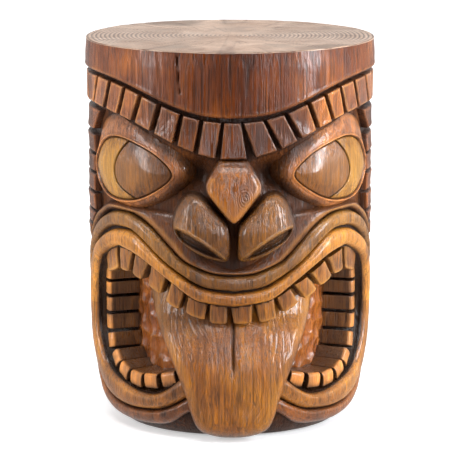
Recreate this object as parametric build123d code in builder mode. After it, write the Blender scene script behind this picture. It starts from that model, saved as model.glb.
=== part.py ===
"""A tiki pedestal table: a hollow log carved as a grinning face, built up from separate pieces.

Millimetres. +Z is up, the face looks along -Y, and the origin is on the floor under the log's axis.
The face is laid out by angle round the log, 0 at the nose and growing towards +X, and by height above
the floor. It is the same on both sides, so its lines are given for the +X half only. The upper teeth
alone stand slightly off centre.
"""

from build123d import *

import os
from math import cos, exp, radians, sin

os.makedirs("parts", exist_ok=True)

# ---------------------------------------------------------------- driving dimensions
HEIGHT = 510.0  # floor to table top
TOP_RADIUS = 191.5  # forehead and table edge
LOG_RADIUS = 178.0  # the log below the forehead, which the face's pieces are fixed to
LOG_STRAIGHT_FROM = 300.0
CHIN_PROFILE = [(136, 2), (151, 36), (163, 69), (170, 104), (174.5, 158), (177, 215)]  # radius, height
FOOT_GAP = 2.0  # floor to the log: the glides stand this far proud
BORE_RADIUS = 100.0  # the hollow inside the log
BORE_TOP = 466.0
BASE_LEDGE = 6.0  # the hollow is this much narrower above the base plate, to carry its screws
BASE_LEDGE_HEIGHT = 20.0
BASE_RADIUS = 108.0
BASE_THICKNESS = 12.0
SLAB_RADIUS = 187.5
SLAB_THICKNESS = 14.0
REACH = 240.0  # from the axis to outside everything

# How far the pieces stand out from the log
BROW_RELIEF = 11.5
SIDE_BLOCK_RELIEF = 9.5
EYE_RELIEF = 9.0
LID_RELIEF = 7.0
CHEEK_RELIEF = 8.0
OUTER_LIP_RELIEF = 8.5
INNER_LIP_RELIEF = 10.5

# Lines of the +X half of the face, as angle and height. The first three run round the mouth, from its
# top middle round the corner to its bottom middle.
LIP_OUTER_LINE = [
    (0, 220), (7.5, 222), (14, 229), (21, 239), (28.5, 260), (36, 280), (46, 293), (56, 293), (63, 286),
    (70, 274), (80, 248), (90, 217), (96, 183), (96, 148), (92, 112), (84, 76), (74, 49), (62, 31),
    (50, 20), (37, 17.5), (27, 22), (19, 34), (9, 44), (0, 46),
]
LIP_GROOVE_LINE = [
    (0, 200), (9.5, 203.5), (16, 210), (27, 231), (33.5, 246), (40, 262), (46, 272), (54, 273), (61.5, 268),
    (73, 250), (82, 225), (88, 196), (90, 165), (88.5, 132), (83, 100), (75, 70), (63, 51), (54, 41.5),
    (44, 37), (33, 38), (26, 45), (19.5, 58), (9, 74), (0, 78),
]
MOUTH_LINE = [
    (0, 180), (10, 184), (16.5, 189), (25, 207), (31, 219), (37, 230), (43, 239), (49.5, 245), (56, 246),
    (63, 241), (69.5, 229), (75.5, 211), (79.5, 188), (81, 162), (80, 132), (76.5, 103), (70, 78),
    (61, 65), (53, 59), (42, 56), (33, 60), (26, 71), (18, 88), (9, 96), (0, 98),
]
LIP_GROOVE = 2.2  # between the two lips, and between the fold of the cheek and the lip
LIP_JOINT_HEIGHT = 160.0  # the upper and lower lips meet here at the mouth's corners
CHEEK_LINE = [
    (6, 226), (12, 231), (18.5, 241), (24, 253), (29, 270), (35, 286), (42, 297), (49, 303), (57, 302),
    (64, 293), (70, 282), (79, 258), (88, 228),
]
LID_LINE = [
    (17, 350), (23, 377), (33, 394), (46, 411), (57, 419), (68, 402), (73.5, 361), (71, 328), (62, 309),
    (43, 301), (27, 319),
]
EYE_LINE = [
    (25, 348), (31, 371), (41, 385), (53, 391), (63, 381), (70, 352), (67, 332), (58, 314), (45, 313),
    (34, 325),
]
IRIS_LINE = [(41, 404), (46, 389), (51.5, 367), (53.5, 348), (51, 330), (44, 316), (37, 300)]
IRIS_GROOVE = 2.0

# Brow blocks: the slots beside them, as the angle at the top and at the bottom
BROW_SLOTS = [
    (3.5, 6.3), (12.5, 16.5), (20.5, 25), (31, 35), (39, 43), (47.5, 51), (57, 60.5), (68, 72), (80, 80),
]
BROW_SLOT_WIDTH = 5.0
BROW_GROOVE = 6.0  # between the forehead and the blocks
BACK_BLOCKS = 20

# Blocks stacked down each side behind the eye
SIDE_ROWS = [246, 267, 286, 311, 337, 362, 389, 424]
SIDE_ANGLES = (74.5, 116.0)
SIDE_GAP = 3.0

# The nose: outlines as distance from the middle and height, and its side view as radius and height
BRIDGE_LINE = [(0, 292), (9, 299), (35, 331), (36, 342), (28, 357), (18, 371), (0, 371)]
NOSTRIL_LINE = [
    (7, 286), (22, 306), (42, 326), (58, 327), (71, 313), (77.5, 291), (71, 271), (50, 254), (28, 244),
    (10, 241), (5, 254),
]
NOSE_PROFILE = [
    (184, 376), (196, 362), (205, 335), (210, 305), (214, 280), (210, 260), (200, 246), (184, 238),
]
NOSE_GROOVE = 3.0  # between the nostrils
NOSTRIL_HOLLOW = (27.0, 9.0, 22.0)  # half length, half width and depth of the oval in each nostril

# The scoops beside the bridge of the nose
SCOOP_RADIUS = 28.0
SCOOP_ANGLE = 16.5
SCOOP_HEIGHT = 346.0
SCOOP_CENTRE = 182.0

# The mouth: its back, and the teeth
LINING_RADIUS = 128.0
LINING_THICKNESS = 8.0
UPPER_TEETH = [  # angle and height of the corners, from the low one at -X, anticlockwise
    [(-69.5, 203), (-59, 213.5), (-59.2, 238.5), (-70.5, 226)],
    [(-57.4, 214), (-51, 213), (-48.2, 238), (-57.3, 239)],
    [(-48.9, 212), (-42.8, 205), (-39.4, 225), (-46.8, 235)],
    [(-39.2, 199.5), (-32.5, 189.5), (-30.3, 209), (-37.8, 221)],
    [(-30.3, 181.5), (-23.7, 171.5), (-21.5, 193), (-27.9, 203)],
    [(-20.8, 168), (-12.3, 160), (-11, 182), (-19.7, 189.5)],
    [(-10.3, 157), (-2.7, 155.5), (-2.4, 177), (-10.2, 180.5)],
    [(0.1, 156), (8, 156), (8.3, 177), (-0.9, 177)],
    [(11.2, 156.5), (18.9, 161), (17.8, 183), (9.7, 177.5)],
    [(21.9, 167.5), (29.5, 178.5), (26.3, 194.5), (19.6, 183.5)],
    [(32.5, 182.5), (39.5, 193), (35.1, 208), (28.5, 198.5)],
    [(41.2, 196.5), (48.8, 206.5), (44.8, 224.5), (37, 211.5)],
    [(50.2, 208.5), (57.2, 212), (56.3, 234.5), (46.9, 227)],
    [(59.1, 212.5), (69.5, 203), (70.5, 228), (58.2, 235)],
]
UPPER_TOOTH_FRONT = 174.0
UPPER_TOOTH_BACK = 161.0
LOWER_TEETH = [  # angle and height of the inner edge's middle, degrees it faces up from level, width
    (72, 199, 0, 16), (72, 180, 0, 18), (71.5, 158.5, 0, 20), (71, 135.5, 4, 21), (68.5, 113, 14, 21),
    (62.5, 96, 38, 20), (56, 86, 62, 21), (48, 81, 82, 23), (39.5, 82, 94, 23), (30.5, 87, 104, 23),
]
LOWER_TOOTH_FRONT = 167.0
TOOTH_DEPTH = 40.0  # from a lower tooth's inner edge into the wall, which cuts it off

# The tongue: half width and height, then its front as radius and height
TONGUE_LINE = [(97, 194), (87, 150), (76, 112), (61, 66), (54, 36), (43, 15), (22, 6), (0, 4)]
TONGUE_FRONT = [(150, 202), (159, 165), (176, 140), (187, 112), (191, 84), (190, 50), (186, 20), (173, 4)]

# Base screws and glides
SCREW_CIRCLE = 101.0
SCREW_COUNT = 6
SCREW_RADIUS = 1.9
SCREW_HEAD_RADIUS = 3.8
SCREW_HEAD_DEPTH = 3.0
SCREW_LENGTH = 26.0
GLIDE_RADIUS = 15.0
GLIDE_THICKNESS = 4.0
GLIDE_CIRCLE = 80.0  # four glides stand on this radius, and one in the middle


# ---------------------------------------------------------------- lines and planes
SIDE_VIEW = Plane.YZ  # round shapes are turned from here, so their seams run down the back
PLAN_VIEW = Plane(origin=(0, 0, 0), x_dir=(0, 1, 0), z_dir=(0, 0, 1))


def forehead_edge(angle):
    """Height of the forehead's lower edge: a wide dip over the nose, level round the back."""
    return 472.0 - 45.0 * exp(-((abs(angle) / 38.0) ** 2.4))


def brow_bottom(angle):
    """Height of the brow blocks' lower ends."""
    return 430.0 - 58.0 * exp(-((abs(angle) / 37.6) ** 2.1))


def facing(angle):
    """The plane through the log's axis that faces out at an angle, with its Y up."""
    a = radians(angle)
    return Plane(origin=(0, 0, 0), x_dir=(cos(a), sin(a), 0), z_dir=(sin(a), -cos(a), 0))


def across(points, plane_angle, radius=186.0):
    """Points given by angle and height, as they fall on the plane that faces out at plane_angle."""
    return [(radius * sin(radians(a - plane_angle)), h) for a, h in points]


# ---------------------------------------------------------------- steps used inside a BuildPart
def turn_log(offset, mode=Mode.ADD):
    """Adds the log's outside below the forehead, moved outwards by offset, as a solid of revolution."""
    with BuildSketch(SIDE_VIEW) as side_view:
        with BuildLine():
            chin = [(r + offset, h) for r, h in CHIN_PROFILE]
            shoulder = (LOG_RADIUS + offset, LOG_STRAIGHT_FROM)
            Spline(*chin, shoulder, tangents=((1, 0.75), (0, 1)))
            Polyline(shoulder, (shoulder[0], HEIGHT), (0, HEIGHT), (0, FOOT_GAP), chin[0])
        make_face()
    revolve(side_view.sketch, axis=Axis.Z, mode=mode)


def turn_profile(profile, mode=Mode.ADD):
    """Adds the solid of revolution whose side view is a smooth line given as radius and height."""
    with BuildSketch(SIDE_VIEW) as side_view:
        with BuildLine():
            Spline(*profile)
            Polyline(profile[-1], (0, profile[-1][1]), (0, profile[0][1]), profile[0])
        make_face()
    revolve(side_view.sketch, axis=Axis.Z, mode=mode)


def relief(thickness):
    """Adds the layer of one thickness on the log's outside, which the face's pieces are cut from."""
    turn_log(thickness)
    turn_log(0, mode=Mode.SUBTRACT)


def rod(radius, mode=Mode.ADD):
    """Adds a round bar on the log's axis."""
    with BuildSketch(PLAN_VIEW) as end:
        Circle(radius)
    extrude(end.sketch, amount=HEIGHT, mode=mode)


def outline(points, angle, mode=Mode.INTERSECT, smooth=False):
    """Cuts the part to, or by, the room in front of an outline on the plane that faces out at angle."""
    with BuildSketch(facing(angle)) as front:
        with BuildLine():
            if smooth:
                Spline(*points, periodic=True)
            else:
                Polyline(*points, close=True)
        make_face()
    extrude(front.sketch, amount=REACH, mode=mode)


def inside_line(line, mode):
    """Cuts the part to, or by, the room inside a line round the mouth. Good for the +X half only."""
    points = across([(-9, line[0][1]), *line, (-9, line[-1][1])], 45)
    with BuildSketch(facing(45)) as front:
        with BuildLine():
            Spline(*points, tangents=((1, 0), (-1, 0)))
            Line(points[-1], points[0])
        make_face()
    extrude(front.sketch, amount=REACH, mode=mode)


def both_sides():
    """Keeps the +X half of the part and adds its mirror image."""
    split(bisect_by=Plane.YZ, keep=Keep.TOP)
    mirror(about=Plane.YZ)


def wedge(corners, angle, near=112.0, far=186.0, at=172.0):
    """Adds a bar that points out from the axis at an angle, with its sides drawn in towards the axis."""
    ends = []
    for distance in (near, far):
        with BuildSketch(facing(angle).offset(distance)) as end:
            with BuildLine():
                Polyline(*[(x * distance / at, h) for x, h in corners], close=True)
            make_face()
        ends.append(end.sketch)
    loft(ends, ruled=True)


def keep(piece, name):
    """Labels a finished piece and writes it as parts/NAME.step."""
    piece.part.label = name
    export_step(piece.part, f"parts/{name}.step")
    print(f"{name}: {len(piece.part.solids())} solid(s), {piece.part.volume / 1000:.1f} cm3")


def keep_mirrored(piece, name):
    """Writes a piece of the +X side, and its mirror image for the -X side."""
    keep(piece, f"{name}_right")
    with BuildPart() as twin:
        mirror(piece.part, about=Plane.YZ)
    keep(twin, f"{name}_left")


# ---------------------------------------------------------------- rooms that several pieces share
with BuildPart() as mouth_room:
    near = [(-6, MOUTH_LINE[0][1]), *MOUTH_LINE[:10], (63, 200), (60, 110), *MOUTH_LINE[17:]]
    near.append((-6, MOUTH_LINE[-1][1]))
    outline(across(near, 30), 30, mode=Mode.ADD)
    far = [(46, MOUTH_LINE[6][1]), *MOUTH_LINE[7:19], (46, MOUTH_LINE[18][1])]
    outline(across(far, 66), 66, mode=Mode.ADD)
    both_sides()

with BuildPart() as tongue_room:
    with BuildSketch(Plane.XZ):
        with BuildLine():
            Spline(*TONGUE_LINE, *[(-x, h) for x, h in reversed(TONGUE_LINE[:-1])])
            Line(TONGUE_LINE[0], (-TONGUE_LINE[0][0], TONGUE_LINE[0][1]))
        make_face()
    extrude(amount=REACH)

with BuildPart() as scoops:
    scoop_x = SCOOP_CENTRE * sin(radians(SCOOP_ANGLE))
    scoop_y = -SCOOP_CENTRE * cos(radians(SCOOP_ANGLE))
    with Locations((scoop_x, scoop_y, SCOOP_HEIGHT), (-scoop_x, scoop_y, SCOOP_HEIGHT)):
        Sphere(SCOOP_RADIUS)

# ---------------------------------------------------------------- base: screws, glides and plate
with BuildPart() as base_screws:
    with Locations((0, 0, FOOT_GAP)):
        with PolarLocations(SCREW_CIRCLE, SCREW_COUNT, start_angle=30):
            on_its_end = (Align.CENTER, Align.CENTER, Align.MIN)
            Cone(SCREW_HEAD_RADIUS, SCREW_RADIUS, SCREW_HEAD_DEPTH, align=on_its_end)
            Cylinder(SCREW_RADIUS, SCREW_LENGTH, align=(Align.CENTER, Align.CENTER, Align.MIN))
keep(base_screws, "base_screws")

with BuildPart() as glides:
    with BuildSketch(Plane.XY):
        Circle(GLIDE_RADIUS)
        with PolarLocations(GLIDE_CIRCLE, 4, start_angle=45):
            Circle(GLIDE_RADIUS)
    extrude(amount=GLIDE_THICKNESS)
    chamfer(glides.faces().filter_by(Plane.XY).group_by(Axis.Z)[0].edges(), length=0.8)
keep(glides, "glides")

with BuildPart() as base_plate:
    with BuildSketch(Plane.XY.offset(FOOT_GAP)):
        Circle(BASE_RADIUS)
    extrude(amount=BASE_THICKNESS)
    add(glides.part, mode=Mode.SUBTRACT)
    add(base_screws.part, mode=Mode.SUBTRACT)
keep(base_plate, "base_plate")

# ---------------------------------------------------------------- log and table top
with BuildPart() as trunk:
    turn_log(0)
    # The forehead stands proud of the log down to its smiling lower edge, and level round the back
    level = forehead_edge(180)
    side = TOP_RADIUS + 5
    edge = [(TOP_RADIUS * sin(radians(a)), forehead_edge(a)) for a in range(-80, 81, 16)]
    with BuildSketch(Plane.XZ):
        with BuildLine():
            Spline((-side, level), *edge, (side, level))
            Polyline((side, level), (side, HEIGHT), (-side, HEIGHT), (-side, level))
        make_face()
    extrude(amount=side)
    with BuildSketch(Plane.XY.offset(level)):
        Circle(TOP_RADIUS)
    extrude(amount=HEIGHT - level)
    rod(TOP_RADIUS, mode=Mode.INTERSECT)
    # Rebates for the table top and the base, then the hollow above the ledge that carries the base
    with BuildSketch(Plane.XY.offset(HEIGHT - SLAB_THICKNESS)):
        Circle(SLAB_RADIUS)
    extrude(amount=SLAB_THICKNESS, mode=Mode.SUBTRACT)
    with BuildSketch(Plane.XY):
        Circle(BASE_RADIUS)
    extrude(amount=FOOT_GAP + BASE_THICKNESS, mode=Mode.SUBTRACT)
    ledge = FOOT_GAP + BASE_THICKNESS + BASE_LEDGE_HEIGHT
    with BuildSketch(Plane.XY):
        Circle(BORE_RADIUS - BASE_LEDGE)
    extrude(amount=ledge, mode=Mode.SUBTRACT)
    with BuildSketch(Plane.XY.offset(ledge)):
        Circle(BORE_RADIUS)
    extrude(amount=BORE_TOP - ledge, mode=Mode.SUBTRACT)
    # The mouth's pocket, the scoops beside the nose and the screw holes
    with BuildPart(mode=Mode.PRIVATE) as pocket:
        add(mouth_room.part)
        rod(LINING_RADIUS - LINING_THICKNESS, mode=Mode.SUBTRACT)
    add(pocket.part, mode=Mode.SUBTRACT)
    add(scoops.part, mode=Mode.SUBTRACT)
    add(base_screws.part, mode=Mode.SUBTRACT)
keep(trunk, "trunk")

with BuildPart() as top_slab:
    with BuildSketch(Plane.XY.offset(HEIGHT - SLAB_THICKNESS)):
        Circle(SLAB_RADIUS)
    extrude(amount=SLAB_THICKNESS)
keep(top_slab, "top_slab")


# ---------------------------------------------------------------- brow and side blocks
def brow_corners(left, right):
    """A block's middle angle and corners between two slots, each its angle at the top and the bottom."""
    middle = (left[0] + right[0] + left[1] + right[1]) / 4
    corners = [
        (left[1], brow_bottom(left[1])), (right[1], brow_bottom(right[1])),
        (right[0], forehead_edge(right[0]) - BROW_GROOVE), (left[0], forehead_edge(left[0]) - BROW_GROOVE),
    ]
    half = BROW_SLOT_WIDTH / 2
    flat = across(corners, middle)
    return middle, [(x + half if i in (0, 3) else x - half, h) for i, (x, h) in enumerate(flat)]


with BuildPart() as brow_layer:
    relief(BROW_RELIEF)

slots = [(-top, -low) for top, low in reversed(BROW_SLOTS)] + BROW_SLOTS
for number, (left, right) in enumerate(zip(slots, slots[1:]), start=1):
    middle, corners = brow_corners(left, right)
    with BuildPart() as brow_block:
        add(brow_layer.part)
        outline(corners, middle)
    keep(brow_block, f"brow_block_{number:02d}")

with BuildPart() as back_brow_blocks:
    start = BROW_SLOTS[-1][0]
    pitch = (360 - 2 * start) / BACK_BLOCKS
    for i in range(BACK_BLOCKS):
        middle, corners = brow_corners((start + i * pitch,) * 2, (start + (i + 1) * pitch,) * 2)
        with BuildPart(mode=Mode.PRIVATE) as back_block:
            add(brow_layer.part)
            outline(corners, middle)
        add(back_block.part)
keep(back_brow_blocks, "back_brow_blocks")

# ---------------------------------------------------------------- fold of the cheek
with BuildPart() as cheek:
    relief(CHEEK_RELIEF)
    under = [(a, h) for a, h in LIP_OUTER_LINE[:12] if 6 < a < 90]
    outline(across([*CHEEK_LINE, *reversed(under)], 50), 50)
    inside_line([(a, h + LIP_GROOVE) for a, h in LIP_OUTER_LINE], mode=Mode.SUBTRACT)
keep_mirrored(cheek, "cheek")

with BuildPart() as side_blocks:
    middle = sum(SIDE_ANGLES) / 2
    for low, high in zip(SIDE_ROWS, SIDE_ROWS[1:]):
        corners = [(SIDE_ANGLES[0], low), (SIDE_ANGLES[1], low), (SIDE_ANGLES[1], high - SIDE_GAP)]
        corners.append((SIDE_ANGLES[0], high - SIDE_GAP))
        with BuildPart(mode=Mode.PRIVATE) as side_block:
            relief(SIDE_BLOCK_RELIEF)
            outline(across(corners, middle), middle)
        add(side_block.part)
    inside_line(LIP_OUTER_LINE, mode=Mode.SUBTRACT)
    outline(across([*CHEEK_LINE, (88, 150), (30, 150)], 50), 50, mode=Mode.SUBTRACT)
    outline(across(LID_LINE, 50), 50, mode=Mode.SUBTRACT, smooth=True)
keep_mirrored(side_blocks, "side_blocks")

# ---------------------------------------------------------------- eyes
with BuildPart() as eye:
    relief(EYE_RELIEF)
    outline(across(EYE_LINE, 50), 50, smooth=True)

with BuildPart() as iris:
    add(eye.part)
    inner = [(a - IRIS_GROOVE / 6, h) for a, h in IRIS_LINE]
    outline(across([*inner, (15, IRIS_LINE[-1][1]), (15, IRIS_LINE[0][1])], 50), 50)
keep_mirrored(iris, "iris")

with BuildPart() as eye_white:
    add(eye.part)
    outer = [(a + IRIS_GROOVE / 6, h) for a, h in IRIS_LINE]
    outline(across([*outer, (85, IRIS_LINE[-1][1]), (85, IRIS_LINE[0][1])], 50), 50)
keep_mirrored(eye_white, "eye_white")

with BuildPart() as eyelid:
    relief(LID_RELIEF)
    outline(across(LID_LINE, 50), 50, smooth=True)
    outline(across(EYE_LINE, 50), 50, mode=Mode.SUBTRACT, smooth=True)
    add(scoops.part, mode=Mode.SUBTRACT)
keep_mirrored(eyelid, "eyelid")

# ---------------------------------------------------------------- nose
with BuildPart() as nose:
    turn_profile(NOSE_PROFILE)
    turn_log(0, mode=Mode.SUBTRACT)

with BuildPart() as nose_bridge:
    add(nose.part)
    outline([*BRIDGE_LINE, *[(-x, h) for x, h in reversed(BRIDGE_LINE[1:-1])]], 0)
keep(nose_bridge, "nose_bridge")

with BuildPart() as nostril:
    add(nose.part)
    outline(NOSTRIL_LINE, 0, smooth=True)
    outline([(NOSE_GROOVE / 2, 0), (REACH, 0), (REACH, HEIGHT), (NOSE_GROOVE / 2, HEIGHT)], 0)
    # The oval hollow looks down and a little forwards
    half_length, half_width, depth = NOSTRIL_HOLLOW
    opening = Plane(origin=(44, -200, 258), x_dir=(0.84, 0.16, 0.52), z_dir=(0.42, -0.55, -0.72))
    with BuildSketch(opening):
        Ellipse(half_length, half_width)
    extrude(amount=depth, both=True, mode=Mode.SUBTRACT)
keep_mirrored(nostril, "nostril")

# ---------------------------------------------------------------- lips
groove_inset = [(a * 0.975, h + (2.2 if h < 150 else -2.2)) for a, h in LIP_GROOVE_LINE]
for ring, outer, inner, thickness in (
    ("outer", LIP_OUTER_LINE, LIP_GROOVE_LINE, OUTER_LIP_RELIEF),
    ("inner", groove_inset, MOUTH_LINE, INNER_LIP_RELIEF),
):
    with BuildPart() as lip:
        relief(thickness)
        split(bisect_by=Plane.YZ, keep=Keep.TOP)
        inside_line(outer, mode=Mode.INTERSECT)
        inside_line(inner, mode=Mode.SUBTRACT)
        mirror(about=Plane.YZ)
    with BuildPart() as upper_lip:
        add(lip.part)
        split(bisect_by=Plane.XY.offset(LIP_JOINT_HEIGHT), keep=Keep.TOP)
    keep(upper_lip, f"upper_lip_{ring}")
    with BuildPart() as lower_lip:
        add(lip.part)
        split(bisect_by=Plane.XY.offset(LIP_JOINT_HEIGHT), keep=Keep.BOTTOM)
        split(bisect_by=Plane.YZ, keep=Keep.TOP)
        add(tongue_room.part, mode=Mode.SUBTRACT)
    keep_mirrored(lower_lip, f"lower_lip_{ring}")
    inner_lower_lip = lower_lip.part

# ---------------------------------------------------------------- teeth and the back of the mouth
with BuildPart() as upper_row_room:
    add(mouth_room.part)
    rod(UPPER_TOOTH_FRONT, mode=Mode.INTERSECT)
    rod(UPPER_TOOTH_BACK, mode=Mode.SUBTRACT)

upper_teeth = []
for number, corners in enumerate(UPPER_TEETH, start=1):
    middle = sum(angle for angle, height in corners) / 4
    low_left, low_right, high_right, high_left = across(corners, middle, radius=172)
    with BuildPart() as upper_tooth:
        tall_right = (high_right[0], high_right[1] + 25)
        tall_left = (high_left[0], high_left[1] + 25)
        wedge([low_left, low_right, tall_right, tall_left], middle)
        add(upper_row_room.part, mode=Mode.INTERSECT)
    keep(upper_tooth, f"upper_tooth_{number:02d}")
    upper_teeth.append(upper_tooth.part)

with BuildPart() as lower_row_room:
    add(mouth_room.part)
    rod(LOWER_TOOTH_FRONT, mode=Mode.INTERSECT)
    rod(LINING_RADIUS, mode=Mode.SUBTRACT)
    add(tongue_room.part, mode=Mode.SUBTRACT)

with BuildPart() as lower_teeth:
    for angle, height, faces_up, width in LOWER_TEETH:
        # Into the mouth, and along the row
        u = radians(faces_up)
        ix, ih = -cos(u), sin(u)
        half = width / 2
        corners = [
            (ih * half, height - ix * half), (-ih * half, height + ix * half),
            (-ih * half - ix * TOOTH_DEPTH, height + ix * half - ih * TOOTH_DEPTH),
            (ih * half - ix * TOOTH_DEPTH, height - ix * half - ih * TOOTH_DEPTH),
        ]
        with BuildPart(mode=Mode.PRIVATE) as lower_tooth:
            wedge(corners, angle)
            add(lower_row_room.part, mode=Mode.INTERSECT)
        add(lower_tooth.part)
    add(inner_lower_lip, mode=Mode.SUBTRACT)
keep_mirrored(lower_teeth, "lower_teeth")

with BuildPart() as mouth_lining:
    add(mouth_room.part)
    rod(LINING_RADIUS, mode=Mode.INTERSECT)
    rod(LINING_RADIUS - LINING_THICKNESS, mode=Mode.SUBTRACT)
keep(mouth_lining, "mouth_lining")

# ---------------------------------------------------------------- tongue
with BuildPart() as tongue:
    # It comes out of the mouth behind the upper teeth and hangs over the chin
    turn_profile(TONGUE_FRONT)
    add(tongue_room.part, mode=Mode.INTERSECT)
    rod(LINING_RADIUS, mode=Mode.SUBTRACT)
    add(trunk.part, mode=Mode.SUBTRACT)
    for tooth in upper_teeth:
        add(tooth, mode=Mode.SUBTRACT)
keep(tongue, "tongue")
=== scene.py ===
"""Tiki pedestal table: the pieces that are seen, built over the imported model.

Shapes are worked out in millimetres, by angle round the log (0 at the nose, growing towards +X),
height above the floor and distance from the axis, and are scaled to metres when a mesh is made.
"""

import functools
import math

import bmesh
import bpy
import numpy as np
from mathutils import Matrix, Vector


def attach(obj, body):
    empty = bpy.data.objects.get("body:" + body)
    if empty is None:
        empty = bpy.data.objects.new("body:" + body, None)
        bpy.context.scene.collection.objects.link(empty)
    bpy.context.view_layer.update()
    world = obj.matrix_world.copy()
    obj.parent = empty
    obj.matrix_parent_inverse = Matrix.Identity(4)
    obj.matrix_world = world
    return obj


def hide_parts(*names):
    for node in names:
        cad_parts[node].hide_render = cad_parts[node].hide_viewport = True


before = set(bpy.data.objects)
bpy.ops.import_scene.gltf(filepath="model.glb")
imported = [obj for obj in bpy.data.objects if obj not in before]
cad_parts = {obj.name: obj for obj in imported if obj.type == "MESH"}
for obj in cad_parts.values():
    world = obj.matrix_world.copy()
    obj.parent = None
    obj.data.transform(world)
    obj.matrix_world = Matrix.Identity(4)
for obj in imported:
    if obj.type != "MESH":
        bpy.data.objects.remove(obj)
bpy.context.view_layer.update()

MM = 0.001
PER_DEGREE = 3.2  # millimetres round the log for each degree, near the pieces' faces

# ---------------------------------------------------------------- dimensions
# Most are the CAD model's. The log's foot, the lines of the lips and how far they stand out are nearer to
# the picture here, and the folds of the cheeks meet under the nose.
HEIGHT = 510.0
TOP_RADIUS = 191.5
LOG_PROFILE = [
    (141, 2), (149, 10), (157, 22), (162, 36), (165.5, 54), (169.5, 76), (173.5, 104), (176, 150),
    (177.2, 205), (178, 300), (178, 510),
]
LINING_RADIUS = 128.0
BASE_LEDGE_RADIUS = 109.0
LOG_FACE = 178.0  # the log's radius behind the face's blocks, eyes and cheeks
# How far each kind of piece stands out of the log
BROW_RELIEF = 11.2
SIDE_RELIEF = 9.6
CHEEK_RELIEF = 9.2
LID_RELIEF = 8.0
OUTER_LIP_RELIEF = 9.8
INNER_LIP_RELIEF = 10.8
TOOTH_FACE = 175.0
TOOTH_PER_DEGREE = 3.0  # as PER_DEGREE, for the upper teeth
RING_PITCH = 5.8  # from one growth ring to the next
RING_PHASE = 1083.0  # radians for each metre, so that the shader's rings have about the same pitch
SIDES = ((1, "right"), (-1, "left"))

LIP_OUTER_LINE = [
    (0, 220), (7.5, 222), (14, 229), (21, 239), (28.5, 260), (36, 280), (46, 293), (56, 293), (63, 286),
    (70, 274), (80, 248), (90, 217), (96, 183), (98, 145), (97, 106), (93, 68), (85, 36), (74, 17),
    (60, 10), (44, 11), (31, 17), (20, 36), (9, 44), (0, 46),
]
LIP_GROOVE_LINE = [
    (0, 200), (9.5, 203.5), (16, 210), (27, 231), (33.5, 246), (40, 262), (46, 272), (54, 273),
    (61.5, 268),
    (73, 250), (82, 225), (88, 196), (90, 165), (91, 132), (90, 98), (87, 68), (79, 46), (68, 34),
    (56, 30), (45, 31), (35, 35), (26, 46), (12, 70), (0, 78),
]
MOUTH_LINE = [
    (0, 180), (10, 184), (16.5, 189), (25, 207), (31, 219), (37, 230), (43, 239), (49.5, 245),
    (56, 246),
    (63, 240), (69, 228), (74.5, 210), (78, 186), (79.5, 158), (79, 131), (76, 105), (71, 83), (64, 71),
    (55, 62.5), (45, 56), (36, 57), (28, 69), (20, 87), (9, 96), (0, 98),
]
LIP_JOINT_HEIGHT = 160.0
# The fold of the cheek: where it rises from the log, its crest, and where it drops to the lip
FOLD_TOP = [
    (0, 229), (5, 233), (11, 243), (14.5, 257), (17, 275), (21.5, 291), (29, 300.5), (44, 303.5),
    (60, 304.5),
    (67.5, 296), (73.5, 283), (82, 255), (90.5, 229),
]
FOLD_CREST = [
    (0, 224.5), (7, 226), (13.5, 232.5), (19, 242.5), (24.6, 262), (31.5, 281.5), (38.5, 295.5),
    (48, 300.2),
    (58, 300), (64.7, 290.5), (71.5, 278.5), (81, 251), (89.5, 225),
]
FOLD_FOOT = [
    (0, 221.5), (7.5, 223), (14, 230), (21, 240), (28.5, 261), (36, 281), (44.5, 293.5),
    (51, 295), (58, 293.5),
    (63.5, 287.5), (70, 276), (80, 250), (90, 219),
]
SIDE_EDGE = [(89, 224), (81, 250), (71, 280), (66, 290), (59, 300), (50, 303), (42, 297)]
LID_LINE = [
    (17, 350), (23, 377), (33, 394), (46, 411), (57, 419), (68, 402), (73.5, 361), (71, 328), (62, 309),
    (43, 301), (27, 319),
]
EYE_LINE = [
    (25, 348), (31, 371), (41, 385), (53, 391.5), (63.5, 382), (71, 353), (68, 331),
    (58.5, 312.5), (45, 311.5),
    (34, 324),
]
IRIS_LINE = [(37, 404), (41, 398), (46, 389), (51.5, 367), (53.5, 348), (51, 330), (44, 316), (37, 300)]
# Slots between the brow blocks: angle at the top and at the bottom, width at the top and at the bottom
BROW_SLOTS_RIGHT = [
    (3.3, 6.9, 3.4, 11.0), (12.2, 18.3, 4.6, 6.0), (20.8, 26.9, 5.0, 6.6), (31, 35.5, 5.2, 6.4),
    (39, 43.5, 5.2, 6.2), (47.5, 51, 5.0, 6.0), (57, 60.5, 5.0, 6.0), (68, 72, 5, 6), (80, 80, 5, 5),
]
BROW_SLOTS_LEFT = [
    (4.2, 6.2, 4.0, 6.6), (12.5, 14.8, 5.0, 6.0), (20.5, 23.4, 5.0, 6.4), (30, 33.5, 5.2, 6.4),
    (39, 43, 5.2, 6.2), (47.5, 51, 5.0, 6.0), (57, 60.5, 5.0, 6.0), (68, 72, 5, 6), (80, 80, 5, 5),
]
SIDE_ROWS = [246, 267, 286, 311, 337, 362, 389, 424]
BRIDGE_LINE = [(0, 292), (9, 299), (35, 331), (36, 342), (28, 357), (18, 371), (0, 371)]
NOSTRIL_LINE = [
    (7, 286), (22, 306), (42, 326), (58, 327), (71, 313), (77.5, 291), (71, 271), (50, 253),
    (29, 241.5),
    (10, 236), (4.5, 250),
]
NOSE_PROFILE = [
    (184, 238), (200, 246), (210, 260), (214, 280), (210, 305), (205, 335), (196, 362), (184, 376),
]
NOSTRIL_HOLLOW = [
    (12.5, 244), (22, 255), (36, 266), (50, 275), (62, 281.5), (72, 285), (75.5, 283),
    (72.5, 274), (64, 265.5),
    (50, 258), (32, 249.5), (20, 245),
]
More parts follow.
